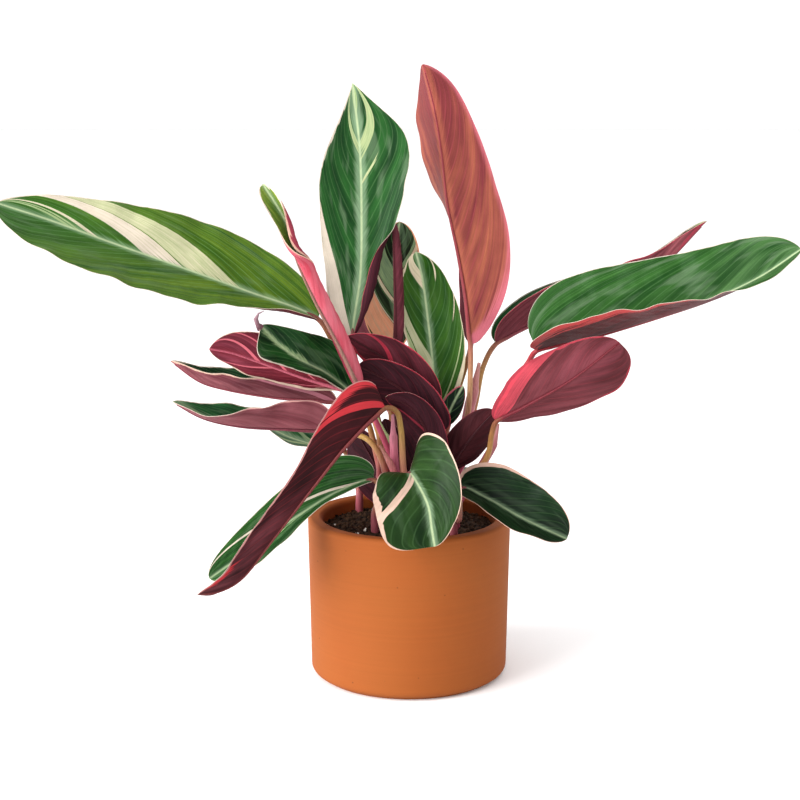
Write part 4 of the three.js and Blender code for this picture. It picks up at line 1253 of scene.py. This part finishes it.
class PLANT_OT_leaves(bpy.types.Operator):
    """Make every leaf with its stem"""

    bl_idname = "plant.leaves"
    bl_label = "Make the leaves"

    def execute(self, context):
        sizes = context.scene.plant_leaf
        tree = stem_tree()
        tissue = petiole_material()
        for seed, (node, leaf) in enumerate(LEAVES.items()):
            style = {**PLAIN_LOOK, **LOOKS[node]}
            *surface, length = blade_grid(leaf, style, sizes.cells_along, sizes.cells_across, seed)
            name = node.replace("leaf_", "blade_")
            mesh = shell_mesh(name, *surface, sizes.thickness)
            upper = blade_material(name + "_upper", style, True, length, seed)
            lower = blade_material(name + "_under", style, False, length, seed)
            blade = new_piece(name, mesh, [upper, lower])
            blade = joined(blade, leaf_stem(name + "_stem", leaf, style, sizes, tree, tissue))
            if style["drip"]:
                blade = joined(blade, drip_tip(name + "_drip", leaf, style, tree, tissue))
            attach(blade, "root")
            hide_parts(node)
        return {"FINISHED"}


class PLANT_OT_shoots(bpy.types.Operator):
    """Make the young shoots"""

    bl_idname = "plant.shoots"
    bl_label = "Make the shoots"

    def execute(self, context):
        tree = stem_tree()
        tissue = petiole_material()
        for node, (foot, radius, points, codes) in SHOOTS.items():
            places, _, _ = walk(route_of(foot, points), 0, 1, np.linspace(0, 1, 50))
            path = np.concatenate([[(*foot, SOIL_LEVEL - STEM_DEPTH)], places])
            radii = SHOOT_FOOT * radius, radius, SHOOT_TIP * radius
            shoot = stem_piece(
                node.replace("shoot_", "sheath_"), path, tree, tissue, radii,
                sheath_end=0.5, neck_place=0.84, sides=SHOOT_SIDES, colours=zip((0.1, 0.55, 1), codes),
            )
            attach(shoot, "root")
            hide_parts(node)
        return {"FINISHED"}


class PLANT_OT_pot(bpy.types.Operator):
    """Make the terracotta pot"""

    bl_idname = "plant.pot"
    bl_label = "Make the pot"

    def execute(self, context):
        pot = context.scene.plant_pot
        rim, high = pot.rim_radius, pot.height
        inner = rim - pot.wall
        stand = pot.foot_radius - STAND_INSET
        rise = high - WALL_END_BELOW_RIM - WALL_START
        wall = [
            (pot.foot_radius + (rim - pot.foot_radius) * share, WALL_START + rise * share)
            for share in np.linspace(0.05, 0.95, 10)
        ]
        profile = [
            (0, 0), (stand - STAND_BEVEL, 0), (stand, STAND_BEVEL), (stand, STAND_HEIGHT),
            *arc(pot.foot_radius - FOOT_ROUND, FOOT_ROUND + STAND_HEIGHT, FOOT_ROUND, -85, 0),
            *wall,
            *arc(rim - LIP_ROUND, high - LIP_ROUND, LIP_ROUND, 0, 90),
            *arc(inner + INNER_ROUND, high - INNER_ROUND, INNER_ROUND, 90, 180),
            (inner, POT_FLOOR), (0, POT_FLOOR),
        ]
        clay = terracotta_material(pot.colour)
        piece = new_piece("pot_wall", lathe_mesh("pot_wall", profile, POT_SIDES), [clay])
        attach(piece, "root")
        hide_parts("pot")
        return {"FINISHED"}


def soil_rings(radius, top):
    """Rings of points over the lumpy top of the soil, from the middle outwards."""
    rings = []
    for step in range(1, SOIL_RINGS + 1):
        share = step / SOIL_RINGS
        level = []
        for x, y, _ in ring(radius * share, top, SOIL_SIDES):
            lump = noise.fractal(Vector((x, y, LUMP_LAYER)) / LUMP_WIDTH, 0.9, 2.1, 4)
            level.append((x, y, top - SOIL_FALL * share**3 + LUMP_HEIGHT * lump))
        rings.append(level)
    return rings


class PLANT_OT_soil(bpy.types.Operator):
    """Make the soil with its crumbs and perlite"""

    bl_idname = "plant.soil"
    bl_label = "Make the soil"

    def execute(self, context):
        pot = context.scene.plant_pot
        top = SOIL_LEVEL - 0.5
        rings = soil_rings(pot.rim_radius - pot.wall - SOIL_GAP, top)
        surface = ringed_mesh("soil_top", (0, 0, top), rings)
        rings.append([(x * SOIL_TAPER, y * SOIL_TAPER, SOIL_FLOOR) for x, y, _ in rings[-1]])
        bed = ringed_mesh("soil_bed", (0, 0, top), rings, (0, 0, SOIL_FLOOR))
        peat = soil_material("peat_and_bark", "#140B07", "#46301F", 0.95)
        perlite = soil_material("perlite", "#B9B3A8", "#F2EFE8", 0.8)
        piece = new_piece("soil_bed", bed, [peat])
        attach(piece, "root")
        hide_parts("soil")
        tree = crumb_tree()
        for name, density, smallest, largest, substance in (
            ("soil_crumbs", pot.crumb_density, 0.4, 1.9, peat),
            ("soil_perlite", pot.perlite_density, 0.5, 1.9, perlite),
        ):
            mesh = grown(bpy.data.objects.new(name + "_source", surface), tree, {
                "Density": density, "Smallest": smallest * MM, "Largest": largest * MM,
                "Seed": pot.seed + len(name), "Substance": substance,
            })
            strewn = new_piece(name, mesh, [substance])
            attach(strewn, "root")
        return {"FINISHED"}


class PLANT_OT_stage(bpy.types.Operator):
    """Make the floor, the lights and the camera"""

    bl_idname = "plant.stage"
    bl_label = "Make the stage"

    def execute(self, context):
        stage = context.scene.plant_stage
        radius, depth = FLOOR_RADIUS / MM, FLOOR_DEPTH / MM
        sheet = lathe_mesh("floor", [(0, -depth), (radius, -depth), (radius, 0), (0, 0)], FLOOR_SIDES)
        floor = new_piece("floor", sheet, [paper_material()])
        for name, place, size, power in (
            ("key", KEY_PLACE, KEY_SIZE, stage.key),
            ("fill", FILL_PLACE, FILL_SIZE, stage.fill),
            ("back", BACK_PLACE, BACK_SIZE, stage.fill),
        ):
            lamp = bpy.data.lights.new(name, "AREA")
            lamp.energy = power
            lamp.size = size
            light = bpy.data.objects.new(name, lamp)
            light.location = place
            aim = Vector(LIGHT_AIM) - Vector(place)
            light.rotation_euler = aim.to_track_quat("-Z", "Y").to_euler()
            context.scene.collection.objects.link(light)
        world = bpy.data.worlds.new("studio")
        world.use_nodes = True
        sky = world.node_tree.nodes["Background"]
        sky.inputs["Color"].default_value = (1, 1, 1, 1)
        sky.inputs["Strength"].default_value = stage.sky
        context.scene.world = world
        context.scene.view_settings.view_transform = "Standard"
        lens = bpy.data.cameras.new("camera")
        lens.lens = stage.lens
        camera = bpy.data.objects.new("camera", lens)
        camera.location = CAMERA_PLACE
        camera.rotation_euler = (math.radians(90 - CAMERA_DIP), 0, 0)
        context.scene.collection.objects.link(camera)
        context.scene.camera = camera
        return {"FINISHED"}


class PLANT_PT_panel(bpy.types.Panel):
    """The plant's pieces and their settings"""

    bl_idname = "PLANT_PT_panel"
    bl_label = "Prayer plant"
    bl_space_type = "VIEW_3D"
    bl_region_type = "UI"
    bl_category = "Plant"

    def draw(self, context):
        for group in (context.scene.plant_leaf, context.scene.plant_pot, context.scene.plant_stage):
            box = self.layout.box()
            for name in group.__annotations__:
                box.prop(group, name)
        for operator in OPERATORS:
            self.layout.operator(operator.bl_idname)


OPERATORS = (PLANT_OT_stage, PLANT_OT_pot, PLANT_OT_soil, PLANT_OT_leaves, PLANT_OT_shoots)
SETTINGS = {
    "plant_leaf": PlantLeafSettings, "plant_pot": PlantPotSettings, "plant_stage": PlantStageSettings,
}


def register():
    for group in (*SETTINGS.values(), *OPERATORS, PLANT_PT_panel):
        bpy.utils.register_class(group)
    for name, group in SETTINGS.items():
        setattr(bpy.types.Scene, name, bpy.props.PointerProperty(type=group))


def unregister():
    for name in SETTINGS:
        delattr(bpy.types.Scene, name)
    for group in (PLANT_PT_panel, *reversed(OPERATORS), *reversed(SETTINGS.values())):
        bpy.utils.unregister_class(group)


def main():
    """Makes the whole plant."""
    register()
    bpy.ops.plant.stage()
    bpy.ops.plant.pot()
    bpy.ops.plant.soil()
    bpy.ops.plant.leaves()
    bpy.ops.plant.shoots()


if __name__ == "__main__":
    main()
